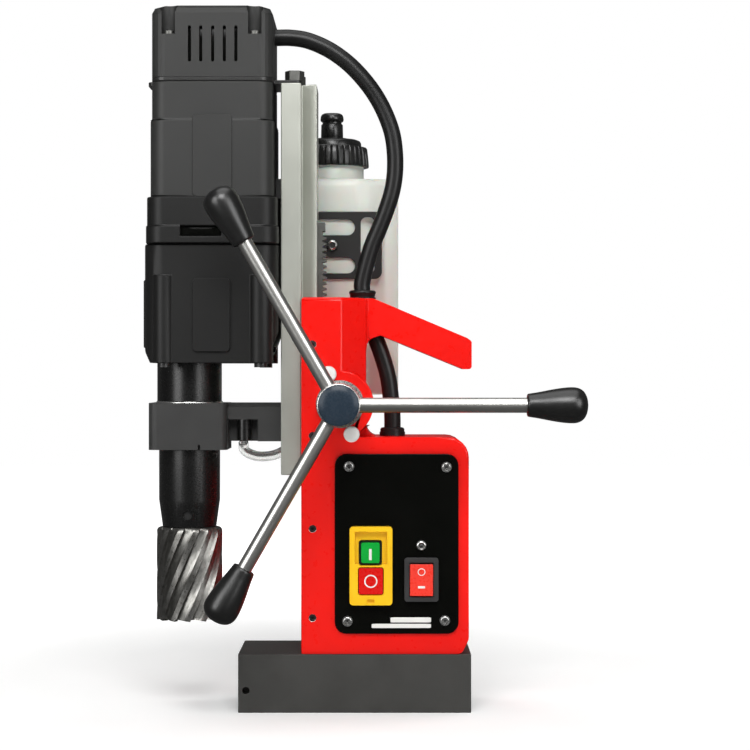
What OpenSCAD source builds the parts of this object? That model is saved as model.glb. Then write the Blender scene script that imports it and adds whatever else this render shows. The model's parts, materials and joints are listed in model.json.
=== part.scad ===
// Magnetic drill press: magnet base, cast frame with a dovetail carriage, feed hub with three levers,
// motor unit with an annular cutter, switch panel and coolant bottle.
// Origin: centre of the magnet's underside. +X points from the drill to the handle, +Z is up.

/* [Magnet base] */
// Length of the magnet base
base_l = 160; // [130:1:200]
// Distance of the base's left end from the origin, so that a longer base grows away from the cutter
base_left = 80; // [76:1:84]
// Depth of the magnet base, front to back
base_d = 80; // [76:1:110]
// Height of the magnet base
base_h = 40; // [32:1:60]
// Thickness of the walls around the two coil pockets
base_wall = 9; // [6:0.5:12]
// Thickness of the steel above the coil pockets
base_roof = 10; // [9:0.5:14]
// Width of the steel web between the coil pockets
base_web = 16; // [10:1:24]
// Radius of the guard screw's thread in the base front
guard_screw_r = 2.5; // [2:0.5:3]

/* [Frame casting] */
// Depth of the cast frame, front to back
frame_d = 76; // [64:1:78]
// Height of the column above the base
column_h = 245.2; // [230:1:300]
// Distance of the column's left face from the middle of the base
column_left = 36.8; // [30:0.5:45]
// Width of the column
column_w = 44.6; // [40:0.5:60]
// Distance of the control box's right side from the middle of the base
box_right = 78.5; // [74:0.5:95]
// Height of the control box above the base
box_h = 149; // [146:1:152]
// Thickness of the control box walls
box_wall = 5; // [4:0.5:7]
// Thickness of the carrying handle, front to back
handle_d = 28; // [20:1:40]
// Reach of the carrying handle beyond the column
handle_reach = 73.7; // [60:1:90]
// Radius of the round boss around the feed shaft
boss_r = 23; // [20:0.5:26]

/* [Carriage] */
// Width of the slide plate, front to back
slide_w = 60; // [50:1:70]
// Thickness of the slide plate
slide_t = 14; // [10:0.5:18]
// Length of the slide
slide_l = 270.8; // [250:1:300]
// Width of the dovetail at its root
tail_root_w = 34; // [28:1:36]
// Width of the dovetail at its wide face
tail_face_w = 46; // [40:1:48]
// Depth of the dovetail
tail_t = 10.6; // [8:0.2:12]
// Gap between the sliding faces
way_gap = 0.2; // [0.1:0.05:0.4]
// Thickness of the gib strip at its thin side
gib_t = 5; // [3:0.5:6]
// Tooth module of the rack and its pinion
feed_module = 1.25; // [1:0.25:1.5]
// Number of teeth on the pinion
pinion_teeth = 18; // [16:1:19]
// Width of the rack
rack_w = 14; // [10:1:16]
// Thickness of the rack over its teeth
rack_t = 6.4; // [5:0.2:8]
// Length of the rack
rack_l = 175; // [170:1:180]

/* [Feed hub] */
// Height of the feed shaft above the base
hub_z = 171.7; // [168:0.5:180]
// Radius of the feed shaft
shaft_r = 8; // [6:0.5:8.5]
// Radius of the hub
hub_r = 14.4; // [13:0.2:16]
// Length of the hub
hub_l = 60.5; // [50:0.5:70]
// Radius of the lever rods
lever_r = 5; // [4:0.5:6]
// Distance of the knob's end from the feed axis
lever_reach = 165; // [140:1:200]
// Length of a knob
knob_l = 40.7; // [35:1:50]
// Largest radius of a knob
knob_r = 12; // [9:0.5:14]
// Running gap of the shafts, on the radius
running_gap = 0.05; // [0.03:0.01:0.1]

/* [Drill unit] */
// Distance of the motor axis from the slide's face
motor_reach = 47; // [46.5:0.1:49]
// Distance from the motor axis to the spindle axis
spindle_offset = 18.5; // [17:0.1:19]
// Width of the motor housing
motor_w = 83.4; // [80:0.2:90]
// Height of the motor housing
motor_h = 79.4; // [74:0.2:90]
// Height of the motor's end cap
cap_h = 49.6; // [46:0.2:60]
// Height of the gear head
head_h = 32; // [26:1:40]
// Height of the gearbox
gearbox_h = 82; // [80:1:90]
// Width of the gearbox
gearbox_w = 93; // [91:0.5:93.5]
// Height of the gearbox floor above the base's underside, carriage as drawn
gearbox_z = 240; // [236:1:246]
// Radius of the quill
quill_r = 22.65; // [21:0.05:24]
// Height of the collar bracket
collar_h = 32.5; // [26:0.5:40]
// Radius of the spindle nose
nose_r = 21.4; // [19:0.2:22]
// Height of the spindle nose above the cutter
nose_h = 54.8; // [50:0.2:60]
// Radius of the spindle shaft
spindle_r = 12.5; // [11:0.5:14]
// Radius of the annular cutter
cutter_r = 23; // [16:0.5:26]
// Length of the annular cutter's body
cutter_l = 65; // [50:1:70]
// Wall of the annular cutter
cutter_wall = 4.5; // [3.5:0.5:6]
// Number of flutes of the annular cutter
flutes = 13; // [8:1:16]
// Radius of the pilot pin
pilot_r = 4; // [3:0.5:4]

/* [Control panel] */
// Width of the panel plate
panel_w = 84.9; // [82:0.5:88]
// Height of the panel plate
panel_h = 123.3; // [120:0.5:126]
// Thickness of the panel plate
panel_t = 2; // [1:0.5:3]
// Width of the switch frame
switch_w = 29.3; // [28:0.1:31]
// Height of the switch frame
switch_h = 53.7; // [53:0.1:56]
// Height of the switch frame's rim above the panel
switch_rim = 7; // [4:0.5:9]

/* [Coolant bottle] */
// Width of the bottle
tank_w = 76; // [66:1:80]
// Depth of the bottle, front to back
tank_d = 60; // [54:1:70]
// Height of the bottle's body
tank_h = 157; // [140:1:170]
// Wall of the bottle
tank_wall = 2; // [1.5:0.5:3]
// Radius of the bottle's neck
neck_r = 23.4; // [20:0.2:26]
// Thickness of the bracket plate
bracket_t = 3; // [2:0.5:3]

/* [Hoses] */
// Outer radius of the cable conduit
conduit_r = 5.8; // [4:0.1:6]
// Outer radius of the coolant hose
hose_r = 3.5; // [2:0.1:4]

/* [Hidden] */
$fn = 64;

corner_steps = 6;
seat_gap = 0.05;

// Frame faces
col_x0 = -column_left;
col_x1 = col_x0 + column_w;
col_z1 = base_h + column_h;
box_z1 = base_h + box_h;
front = -frame_d / 2;
back = frame_d / 2;

// Carriage faces
slide_x1 = col_x0 - way_gap;
slide_x0 = slide_x1 - slide_t;
tail_x = slide_x1 + tail_t;
rack_tip_x = tail_x + rack_t;
tail_slope = (tail_face_w - tail_root_w) / 2 / tail_t;
groove_x = tail_x + way_gap;
channel_x = rack_tip_x + 1.3;
channel_half = rack_w / 2 + 2;

// Feed shaft
pinion_pitch_r = feed_module * pinion_teeth / 2;
pinion_tip_r = pinion_pitch_r + feed_module;
axis_x = rack_tip_x - feed_module + pinion_pitch_r;
axis_z = base_h + hub_z;
front_bush_r = pinion_tip_r + 2.5;
rear_bush_r = shaft_r + 3;
bush_flange_r = front_bush_r + 1.4;
bush_flange_t = 4;
hub_back = front - bush_flange_t - 0.5;
hub_front = hub_back - hub_l;
lever_y = hub_front + 8;
lever_angles = [0, 120, 240];
flange_head_r = 5.5;

// Drill unit, carriage as drawn
motor_x = slide_x0 - motor_reach;
spindle_x = motor_x - spindle_offset;
box_top = gearbox_z + gearbox_h;
head_top = box_top + head_h;
motor_top = head_top + motor_h;
plate_t = 3;
cap_z = motor_top + plate_t;
cap_top = cap_z + cap_h;
slide_z1 = motor_top;
slide_z0 = slide_z1 - slide_l;
collar_z1 = gearbox_z - 27.7;
collar_z0 = collar_z1 - collar_h;
nose_top = collar_z0 + 0.2;
cutter_top = nose_top - nose_h;
cutter_z0 = cutter_top - cutter_l;
motor_half = motor_w / 2;
gearbox_half = gearbox_w / 2;
gearbox_wall = 4.5;

// Gear train: motor pinion, countershaft, spindle gear
fast_module = 0.8;
fast_pinion_teeth = 8;
fast_gear_teeth = 30;
slow_module = 1.5;
slow_pinion_teeth = 12;
slow_gear_teeth = 28;
fast_distance = fast_module * (fast_pinion_teeth + fast_gear_teeth) / 2;
slow_distance = slow_module * (slow_pinion_teeth + slow_gear_teeth) / 2;
counter_dx = (pow(slow_distance, 2) - pow(fast_distance, 2) - pow(spindle_offset, 2)) / (2 * spindle_offset);
counter_y = sqrt(pow(fast_distance, 2) - pow(counter_dx, 2));
counter_x = motor_x + counter_dx;
rotor_r = 5;

// Panel and switches
panel_x0 = -13.6;
panel_z0 = base_h + 14.2;
panel_front = front - panel_t;
switch_x0 = -3.4;
switch_z0 = base_h + 34.4;
green_box = [4.5, base_h + 63.1, 12.7, 14];
red_box = [2.9, base_h + 42, 16.5, 17.9];
rocker_box = [37.9, base_h + 40.1, 15.8, 22.9];
bezel_rim = 3.6;
rocker_z = rocker_box[1] + rocker_box[3] / 2;
lamp_x = 45.8;
lamp_z = base_h + 74.7;
panel_screws = [[-3.8, base_h + 129], [63, base_h + 128.6], [-4.9, base_h + 23], [61.9, base_h + 23.5]];

// Control box cavity
cavity_x0 = channel_x + 6.7;
cavity_x1 = box_right - box_wall;
cavity_z0 = base_h + 8;
cavity_z1 = box_z1 - box_wall;
cover_t = 2;
box_corner = 14;
cover_screws = [[cavity_x0 + 4, cavity_z0 + 4], [cavity_x1 - 4, cavity_z0 + 4],
    [cavity_x0 + 4, cavity_z1 - 4], [cavity_x1 - 4, cavity_z1 - 4]];
base_bolt_places = [for (x = [8, 54], y = [-22, 22]) [x, y]];
gib_screw_heights = [base_h + 24.9, base_h + 86.1, base_h + 150, base_h + 212.8];
gib_screw_x = (slide_x1 + tail_x) / 2 + 2.8;

// Bottle, carriage as drawn
bracket_y0 = back + 4;
tank_y0 = bracket_y0 + bracket_t;
tank_y = tank_y0 + tank_d / 2;
tank_x0 = slide_x0 + 6;
tank_z1 = cap_z - 62.1;
tank_z0 = tank_z1 - tank_h;
neck_x = tank_x0 + 27.3;
neck_z1 = tank_z1 + 21.5;
tank_cap_z0 = tank_z1 + 10.3;
bracket_z0 = box_top - 20.8;
bracket_h = 48.7;

// Cable conduit: lower run from the control box to the frame's top, and the loop above it, as [x, y, z]
gland_x = 26.2;
grommet_x = 5.2;
lower_route = [[26.2, 0, 186], [26.2, 0, 203], [25, 0, 217], [23, 0, 231], [19, 0, 245], [14, 0, 259],
    [9, 0, 273], [6, 0, 280], [5, 0, 285], [5, 0, 291]];
upper_route = [[5, 0, 291], [5, 0, 297], [8, 0, 310], [12, 0, 323], [17, 0, 335], [22, 0, 348],
    [26, 0, 361], [28, 0, 374],
    [28, 0, 388], [26, 0, 402], [21, 0, 416], [14, 0, 429], [5, 0, 441], [-6, 0, 452], [-19, 0, 461],
    [-33, 0, 467], [-45, 0, 469], [-56.3, 0, 469]];
// Coolant hose: from the collar bracket, under the slide's rear corner, to the bottle's bottom outlet
hose_route = [[-79, 6, 184], [-78, 10, 178], [-70, 18, 174], [-60, 28, 174], [-52, 38, 177], [-43, 47, 183],
    [-33, 56, 192], [-24, 66, 200], [-18, 75, 206], [-18, 75, 213]];

function unit(v) = v / norm(v);

// Points that round the corner b between a and c
function corner(a, b, c, r) = r <= 0 ? [b] : let (
    u = unit(a - b), v = unit(c - b), half = acos(u * v) / 2,
    mid = b + unit(u + v) * r / sin(half), p = b + u * r / tan(half), q = b + v * r / tan(half),
    start = atan2(p.y - mid.y, p.x - mid.x), turn = atan2(q.y - mid.y, q.x - mid.x) - start,
    sweep = turn > 180 ? turn - 360 : turn < -180 ? turn + 360 : turn)
    [for (i = [0 : corner_steps]) let (t = start + sweep * i / corner_steps) mid + r * [cos(t), sin(t)]];

// An outline from [x, y, corner radius] entries
function rounded(pts) = [for (i = [0 : len(pts) - 1]) let (
    n = len(pts), a = pts[(i + n - 1) % n], b = pts[i], c = pts[(i + 1) % n])
    each corner([a.x, a.y], [b.x, b.y], [c.x, c.y], b.z)];

function rect(x0, y0, w, h, r) = rounded([[x0, y0, r], [x0 + w, y0, r], [x0 + w, y0 + h, r],
    [x0, y0 + h, r]]);

// Outline of a spur gear with straight-flanked teeth
function gear_outline(teeth, size) = let (step = 360 / teeth, r = size * teeth / 2)
    [for (i = [0 : teeth - 1], p = [[-0.26, -1.25], [-0.1, 0.95], [0.1, 0.95], [0.26, -1.25]])
    (r + p[1] * size) * [cos((i + p[0]) * step), sin((i + p[0]) * step)]];

// Rings of a tube swept along a route, and the tube as one closed polyhedron
function heading(route, i) = unit(route[min(i + 1, len(route) - 1)] - route[max(i - 1, 0)]);
function side(dir) = unit(cross(dir, abs(dir.y) > 0.9 ? [1, 0, 0] : [0, 1, 0]));
function ring(route, i, r, sides) = let (dir = heading(route, i), u = side(dir), v = cross(dir, u))
    [for (k = [0 : sides - 1]) route[i] + r * (u * cos(360 * k / sides) + v * sin(360 * k / sides))];

module tube(route, r, sides) {
    rings = len(route);
    points = [for (i = [0 : rings - 1]) each ring(route, i, r, sides)];
    walls = [for (i = [0 : rings - 2], k = [0 : sides - 1]) let (j = (k + 1) % sides)
        [i * sides + k, i * sides + j, (i + 1) * sides + j, (i + 1) * sides + k]];
    first = [for (k = [sides - 1 : -1 : 0]) k];
    last = [for (k = [0 : sides - 1]) (rings - 1) * sides + k];
    polyhedron(points, concat([first], walls, [last]), convexity = 6);
}

module block(x0, x1, y0, y1, z0, z1) translate([x0, y0, z0]) cube([x1 - x0, y1 - y0, z1 - z0]);

// Extrudes an outline drawn in X and Z from y0 to y1
module front_plate(y0, y1) translate([0, y1, 0]) rotate([90, 0, 0]) linear_extrude(y1 - y0) children();

// Extrudes an outline drawn in X and Y from z0 to z1
module plan_plate(z0, z1) translate([0, 0, z0]) linear_extrude(z1 - z0) children();

module pin_y(x, z, y0, y1, r) translate([x, y1, z]) rotate([90, 0, 0]) cylinder(r = r, h = y1 - y0);
module pin_z(x, y, z0, z1, r) translate([x, y, z0]) cylinder(r = r, h = z1 - z0);
module pin_x(y, z, x0, x1, r) translate([x0, y, z]) rotate([0, 90, 0]) cylinder(r = r, h = x1 - x0);

module round_box(x, half_x, half_y, z0, z1, r)
    plan_plate(z0, z1) polygon(rect(x - half_x, -half_y, 2 * half_x, 2 * half_y, r));

// A screw along +Y: its head stands in front of y, its shank runs back from y
module screw_y(x, z, y, head_r, head_t, shank_r, shank_l) {
    difference() {
        pin_y(x, z, y - head_t, y, head_r);
        pin_y(x, z, y - head_t - 1, y - head_t / 2, head_r * 0.42, $fn = 6);
    }
    pin_y(x, z, y - 0.01, y + shank_l, shank_r);
}

/* Magnet base */

base_mid = base_l / 2 - base_left;
pocket_l = (base_l - 2 * base_wall - base_web) / 2;
pocket_d = base_d - 2 * base_wall;
pocket_top = base_h - base_roof;
pocket_centre = base_web / 2 + pocket_l / 2;
core_l = pocket_l * 0.45;
core_d = pocket_d * 0.6;
potting_t = 5;

module at_pockets() for (s = [-1, 1]) translate([base_mid + s * pocket_centre, 0, 0]) children();
module centred(l, d, z0, z1, r) round_box(0, l / 2, d / 2, z0, z1, r);

module magnet_housing() color([0.2, 0.2, 0.21]) difference() {
    round_box(base_mid, base_l / 2, base_d / 2, 0, base_h, 1.5);
    at_pockets() centred(pocket_l, pocket_d, -1, pocket_top, 4);
    for (p = base_bolt_places) pin_z(p.x, p.y, base_h - 8.5, base_h + 1, 3 + seat_gap);
    pin_y(-base_left + 5.4, 15.2, -base_d / 2 - 1, -base_d / 2 + 8.5, guard_screw_r);
}

module magnet_cores() color("dimgray") at_pockets() centred(core_l, core_d, 0, pocket_top, 3);

module magnet_coils() color("peru") at_pockets() difference() {
    centred(pocket_l - 2, pocket_d - 2, potting_t, pocket_top - 0.5, 4);
    centred(core_l + 0.6, core_d + 0.6, potting_t - 1, pocket_top, 3);
}

module magnet_potting() color([0.12, 0.1, 0.09]) at_pockets() difference() {
    centred(pocket_l - 0.2, pocket_d - 0.2, 0.4, potting_t, 4);
    centred(core_l + 0.2, core_d + 0.2, 0, potting_t + 1, 3);
}

module base_bolts() color("silver") for (p = base_bolt_places) {
    pin_z(p.x, p.y, cavity_z0, cavity_z0 + 6, 5);
    pin_z(p.x, p.y, base_h - 8, cavity_z0 + 1, 3);
}

/* Frame */

handle_tip_x = col_x1 + handle_reach;
handle_outline = [[col_x0 + 20, col_z1, 0], [col_x1 + 5, col_z1, 6], [handle_tip_x - 3, col_z1 - 27.7, 3],
    [handle_tip_x, col_z1 - 30, 2], [handle_tip_x, col_z1 - 49.4, 2], [handle_tip_x - 6, col_z1 - 49.4, 2],
    [col_x1 + 10, col_z1 - 25.8, 4], [col_x1 + 1, col_z1 - 29, 6], [col_x1 - 1, col_z1 - 45, 0],
    [col_x0 + 20, col_z1 - 45, 0]];
box_outline = [[col_x0, base_h, 0], [box_right - 5, base_h, 5], [box_right, base_h + 10, 8],
    [box_right, box_z1, box_corner], [col_x0, box_z1, 0]];
groove_outline = [[col_x0 - 1, front + (frame_d - tail_face_w) / 2 - gib_t],
    [groove_x, front + (frame_d - tail_face_w) / 2 - gib_t],
    [groove_x, tail_root_w / 2 + (groove_x - slide_x1) * tail_slope + way_gap],
    [col_x0 - 1, tail_root_w / 2 + (col_x0 - 1 - slide_x1) * tail_slope + way_gap]];
// Fills the inner corner between the column and the top of the control box
inner_fillet = [[col_x1 - 1, box_z1 - 1, 0], [col_x1 + 14, box_z1 - 1, 0], [col_x1 + 14, box_z1, 0],
    [col_x1, box_z1, 9], [col_x1, box_z1 + 14, 0], [col_x1 - 1, box_z1 + 14, 0]];
conduit_slot = [[-2, col_z1 + 1], [12.4, col_z1 + 1], [15.8, col_z1 - 11], [23, col_z1 - 31],
    [6, col_z1 - 31]];
chamfer = 13;
cavity_outline = [[cavity_x0 + chamfer, cavity_z0], [cavity_x1 - chamfer, cavity_z0],
    [cavity_x1, cavity_z0 + chamfer], [cavity_x1, cavity_z1 - chamfer], [cavity_x1 - chamfer, cavity_z1],
    [cavity_x0 + chamfer, cavity_z1], [cavity_x0, cavity_z1 - chamfer], [cavity_x0, cavity_z0 + chamfer]];
switch_cut = [switch_x0 + 4, switch_z0 + 5, switch_w - 8, switch_h - 10];
rocker_cut = [rocker_box[0] - 2, rocker_box[1] - 2, rocker_box[2] + 4, rocker_box[3] + 4];

module cutouts(y0, y1) front_plate(y0, y1) {
    polygon(rect(switch_cut[0], switch_cut[1], switch_cut[2], switch_cut[3], 2));
    polygon(rect(rocker_cut[0], rocker_cut[1], rocker_cut[2], rocker_cut[3], 1.5));
}

module casting_body() {
    block(col_x0, -9, front, back, base_h, col_z1);
    plan_plate(base_h, col_z1) polygon([[-9.5, front + 0.4], [-9, front], [col_x1, front + 17],
        [col_x1, back - 17], [-9, back], [-9.5, back - 0.4]]);
    front_plate(-handle_d / 2, handle_d / 2) polygon(rounded(handle_outline));
    pin_y(axis_x, axis_z, front, back, boss_r);
    front_plate(front + 17, back - 17) polygon(rounded(inner_fillet));
    front_plate(front, back) polygon(rounded(box_outline));
}

module frame_casting() color([0.86, 0.12, 0.07]) difference() {
    casting_body();
    plan_plate(base_h - 1, col_z1 + 1) polygon(groove_outline);
    block(groove_x - 1, channel_x, -channel_half, channel_half, base_h - 1, col_z1 + 1);
    pin_y(axis_x, axis_z, front - 1, channel_half, front_bush_r + seat_gap);
    pin_y(axis_x, axis_z, channel_half - 1, back - 5, rear_bush_r + seat_gap);
    front_plate(front + box_wall, back + 1) polygon(cavity_outline);
    cutouts(front - 1, front + box_wall + 1);
    pin_y(lamp_x, lamp_z, front - 1, front + box_wall + 1, 3.2);
    for (p = panel_screws) pin_y(p.x, p.y, front - 1, front + box_wall + 1, 2 + seat_gap);
    for (p = cover_screws) pin_y(p.x, p.y, back - 12, back + 1, 2 + seat_gap);
    for (z = gib_screw_heights)
        pin_y(gib_screw_x, z, front - 1, -tail_face_w / 2 - gib_t + 1, 2.5 + seat_gap);
    for (a = [111, 291]) flange_screw_place(a) pin_y(0, 0, front - 1, front + 14, 3 + seat_gap);
    for (p = base_bolt_places) pin_z(p.x, p.y, base_h - 1, cavity_z0 + 1, 3.3);
    front_plate(-conduit_r - 0.8, conduit_r + 0.8) polygon(conduit_slot);
    pin_z(gland_x, 0, cavity_z1 - 1, box_z1 + 1, 8 + seat_gap);
}

module flange_screw_place(a) translate([axis_x, 0, axis_z] + 22.1 * [cos(a), 0, sin(a)]) children();

gib_front = -tail_face_w / 2 - gib_t;
module gib_strip() color("dimgray") plan_plate(base_h + 3, col_z1 - 3) polygon([
    [col_x0, gib_front], [groove_x - 0.1, gib_front],
    [groove_x - 0.1, -tail_root_w / 2 - (groove_x - 0.1 - slide_x1) * tail_slope - way_gap],
    [col_x0, -tail_root_w / 2 - (col_x0 - slide_x1) * tail_slope - way_gap]]);

module gib_screws() color("dimgray") for (z = gib_screw_heights) difference() {
    pin_y(gib_screw_x, z, front + 0.6, gib_front, 2.5);
    pin_y(gib_screw_x, z, front, front + 3, 1.25, $fn = 6);
}

module rear_cover() color([0.1, 0.1, 0.1]) difference() {
    front_plate(back, back + cover_t) polygon(rect(cavity_x0 - 4, cavity_z0 - 4,
        cavity_x1 - cavity_x0 + 8, cavity_z1 - cavity_z0 + 8, box_corner - 1));
    for (p = cover_screws) pin_y(p.x, p.y, back - 1, back + cover_t + 1, 2.2);
    pin_y(mains_x, mains_z, back - 1, back + cover_t + 1, 7 + seat_gap);
}

module box_screws() color("silver") {
    for (p = panel_screws) screw_y(p.x, p.y, panel_front, 3.5, 2, 2, panel_t + 4);
    for (p = cover_screws) {
        pin_y(p.x, p.y, back - 11, back + cover_t + 0.5, 2);
        pin_y(p.x, p.y, back + cover_t, back + cover_t + 1.4, 3.5);
    }
}

module control_panel() color([0.04, 0.04, 0.045]) difference() {
    front_plate(panel_front, front) polygon(rect(panel_x0, panel_z0, panel_w, panel_h, 8));
    cutouts(panel_front - 1, front + 1);
    pin_y(lamp_x, lamp_z, panel_front - 1, front + 1, 3.2);
    for (p = panel_screws) pin_y(p.x, p.y, panel_front - 1, front + 1, 2.2);
}

module switch_frame() color([0.93, 0.72, 0.06]) difference() {
    front_plate(panel_front - switch_rim, panel_front)
        polygon(rect(switch_x0, switch_z0, switch_w, switch_h, 2.5));
    front_plate(panel_front - switch_rim - 1, panel_front - 2) polygon(rect(switch_x0 + 3.6,
        red_box[1] + red_box[3] + 2.6, switch_w - 7.2,
            switch_z0 + switch_h - 3.4 - red_box[1] - red_box[3] - 2.6, 1));
    button_hole(green_box, 1.6);
    button_hole(red_box, 0.5);
    front_plate(panel_front - switch_rim - 1, panel_front - switch_rim + 2)
        polygon(rect(red_box[0] + red_box[2] / 2 - 2.5, switch_z0 + 1.6, 5, 2.6, 1));
}

module button_hole(b, room) front_plate(panel_front - switch_rim - 1, panel_front + 1)
    polygon(rect(b[0] - room, b[1] - room, b[2] + 2 * room, b[3] + 2 * room, 1.8));

// Body of the push-button switch, with guides for both buttons
module switch_base() color([0.07, 0.07, 0.07]) difference() {
    front_plate(panel_front, front + 32) polygon(rect(switch_cut[0] + 0.2, switch_cut[1] + 0.2,
        switch_cut[2] - 0.4, switch_cut[3] - 0.4, 1.8));
    for (b = [green_box, red_box]) front_plate(panel_front - 1, front + 10)
        polygon(rect(b[0] - 0.3, b[1] - 0.3, b[2] + 0.6, b[3] + 0.6, 1.8));
}

module button(b, out) front_plate(panel_front - out, panel_front + 7)
    polygon(rect(b[0], b[1], b[2], b[3], 1.5));

module start_button() color([0.05, 0.5, 0.25]) button(green_box, 5);
module stop_button() color([0.8, 0.07, 0.07]) button(red_box, switch_rim + 1);

module rocker_bezel() color([0.12, 0.12, 0.13]) difference() {
    union() {
        front_plate(panel_front - bezel_rim, panel_front)
            polygon(rect(rocker_box[0] - 3.8, rocker_box[1] - 3.6,
            rocker_box[2] + 7.6, rocker_box[3] + 7.2, 2));
        front_plate(panel_front - 0.01, front + 24) polygon(rect(rocker_cut[0] + 0.2, rocker_cut[1] + 0.2,
            rocker_cut[2] - 0.4, rocker_cut[3] - 0.4, 1.3));
    }
    front_plate(panel_front - bezel_rim - 1, front + 14)
        polygon(rect(rocker_box[0] - 0.3, rocker_box[1] - 0.3,
        rocker_box[2] + 0.6, rocker_box[3] + 0.6, 0.6));
    pin_x(panel_front + 2, rocker_z, rocker_box[0] - 1.7, rocker_box[0] + rocker_box[2] + 1.7,
        1.2 + running_gap);
}

// The rocker swings on two trunnions; its face is bent along the middle
module magnet_rocker() color([0.8, 0.06, 0.06]) {
    half = rocker_box[3] / 2 - 0.4;
    translate([rocker_box[0], panel_front, rocker_z]) rotate([90, 0, 90]) linear_extrude(rocker_box[2])
        polygon([[-7, half], [-4.6, 0], [-5.6, -half], [3, -half + 2.6], [6, 0], [3, half - 2.6]]);
    pin_x(panel_front + 2, rocker_z, rocker_box[0] - 1.5, rocker_box[0] + rocker_box[2] + 1.5, 1.2);
}

module indicator_lamp() color("gainsboro") {
    pin_y(lamp_x, lamp_z, panel_front - 1.6, panel_front, 4);
    pin_y(lamp_x, lamp_z, panel_front - 3, panel_front - 1.6, 2.8);
    pin_y(lamp_x, lamp_z, panel_front - 0.01, front + 12, 3.1);
}

module control_board() color([0.05, 0.35, 0.2]) {
    block(cavity_x0 + 12, cavity_x1 - 12, back - 8, back - 6.4, cavity_z0 + 36, cavity_z1 - 24);
    for (x = [cavity_x0 + 16, cavity_x1 - 16], z = [cavity_z0 + 40, cavity_z1 - 28])
        pin_y(x, z, back - 6.41, back, 3);
    block(cavity_x0 + 38, cavity_x1 - 16, back - 30, back - 7.99, cavity_z0 + 72, cavity_z1 - 32);
}

module conduit_gland() color([0.05, 0.05, 0.05]) difference() {
    union() {
        pin_z(gland_x, 0, box_z1, box_z1 + 6, 9);
        pin_z(gland_x, 0, cavity_z1 - 4, box_z1 + 1, 8);
    }
    pin_z(gland_x, 0, cavity_z1 - 5, box_z1 + 7, conduit_r + seat_gap);
}

module conduit_grommet() color([0.05, 0.05, 0.05]) difference() {
    pin_z(grommet_x, 0, col_z1, col_z1 + 6, 9.5);
    pin_z(grommet_x, 0, col_z1 - 1, col_z1 + 7, conduit_r + 1);
}

module conduit_lower() color([0.06, 0.06, 0.06]) tube(lower_route, conduit_r, 12);
module conduit_upper() color([0.06, 0.06, 0.06]) tube(upper_route, conduit_r, 12);

mains_x = 60;
mains_z = base_h + 34;
module mains_gland() color([0.05, 0.05, 0.05]) difference() {
    union() {
        pin_y(mains_x, mains_z, back - 6, back + cover_t, 7);
        pin_y(mains_x, mains_z, back + cover_t, back + cover_t + 5, 10);
        pin_y(mains_x, mains_z, back + cover_t + 4.99, back + cover_t + 18, 7.5);
    }
    pin_y(mains_x, mains_z, back - 7, back + cover_t + 19, 4.5);
}

/* Feed hub */

module shaft_bushes() color([0.75, 0.75, 0.76]) {
    difference() {
        union() {
            pin_y(axis_x, axis_z, front - 0.01, -channel_half, front_bush_r);
            pin_y(axis_x, axis_z, front - bush_flange_t, front, bush_flange_r);
        }
        pin_y(axis_x, axis_z, front - bush_flange_t - 1, 0, shaft_r + running_gap);
    }
    difference() {
        pin_y(axis_x, axis_z, channel_half, back - 5.5, rear_bush_r);
        pin_y(axis_x, axis_z, channel_half - 1, back, shaft_r + running_gap);
    }
}

module flange_screws() color([0.85, 0.85, 0.83]) for (a = [111, 291]) flange_screw_place(a)
    screw_y(0, 0, front, flange_head_r, 4, 3, 12);

module pinion_shaft() color("silver") {
    pin_y(axis_x, axis_z, hub_front + 18, back - 6, shaft_r);
    translate([axis_x, rack_w / 2, axis_z]) rotate([90, 0, 0]) linear_extrude(rack_w)
        polygon(gear_outline(pinion_teeth, feed_module));
}

module lever_place(a) translate([axis_x, lever_y, axis_z]) rotate([0, 90 - a, 0]) children();

module feed_hub() color([0.72, 0.73, 0.75]) difference() {
    pin_y(axis_x, axis_z, hub_front, hub_back, hub_r);
    pin_y(axis_x, axis_z, hub_front + 17.5, hub_back + 1, shaft_r + seat_gap);
    pin_y(axis_x, axis_z, hub_front - 1, hub_front + 1.5, hub_r - 0.8);
    for (a = lever_angles) lever_place(a) translate([0, 0, 6]) cylinder(r = lever_r + seat_gap, h = hub_r);
}

module hub_cap() color([0.1, 0.13, 0.2]) translate([axis_x, hub_front + 1.5, axis_z]) rotate([90, 0, 0])
    rotate_extrude() polygon([[0, 0], [hub_r - 0.85, 0], [hub_r - 0.85, 2], [hub_r - 2, 2.8],
    [hub_r * 0.5, 3.5], [0, 3.8]]);

module levers() color([0.7, 0.7, 0.7]) for (a = lever_angles) lever_place(a)
    translate([0, 0, 7]) cylinder(r = lever_r, h = lever_reach - knob_l + 5);

knob_profile = [[0, 0], [0.62, 0], [0.66, 0.04], [0.72, 0.2], [0.84, 0.4], [0.96, 0.6], [1, 0.74],
    [0.97, 0.84], [0.86, 0.92], [0.62, 0.975], [0.3, 0.997], [0, 1]];
module knobs() color([0.03, 0.03, 0.03]) for (a = lever_angles) lever_place(a)
    translate([0, 0, lever_reach - knob_l]) difference() {
        rotate_extrude() polygon([for (p = knob_profile) [p.x * knob_r, p.y * knob_l]]);
        translate([0, 0, -1]) cylinder(r = lever_r + seat_gap, h = 13.2);
    }

/* Carriage */

module slide() color([0.72, 0.75, 0.7]) difference() {
    plan_plate(slide_z0, slide_z1) polygon([[slide_x0, -slide_w / 2], [slide_x1, -slide_w / 2],
        [slide_x1, -tail_root_w / 2], [tail_x, -tail_face_w / 2], [tail_x, tail_face_w / 2],
        [slide_x1, tail_root_w / 2], [slide_x1, slide_w / 2], [slide_x0, slide_w / 2]]);
    for (y = top_bolts_y) pin_z(top_bolt_x, y, slide_z1 - 19, slide_z1 + 1, 4 + seat_gap);
    for (z = bracket_bolts_z) pin_y(slide_x0 + 5, z, slide_w / 2 - 10, slide_w / 2 + 1, 2.5 + seat_gap);
}

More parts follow.
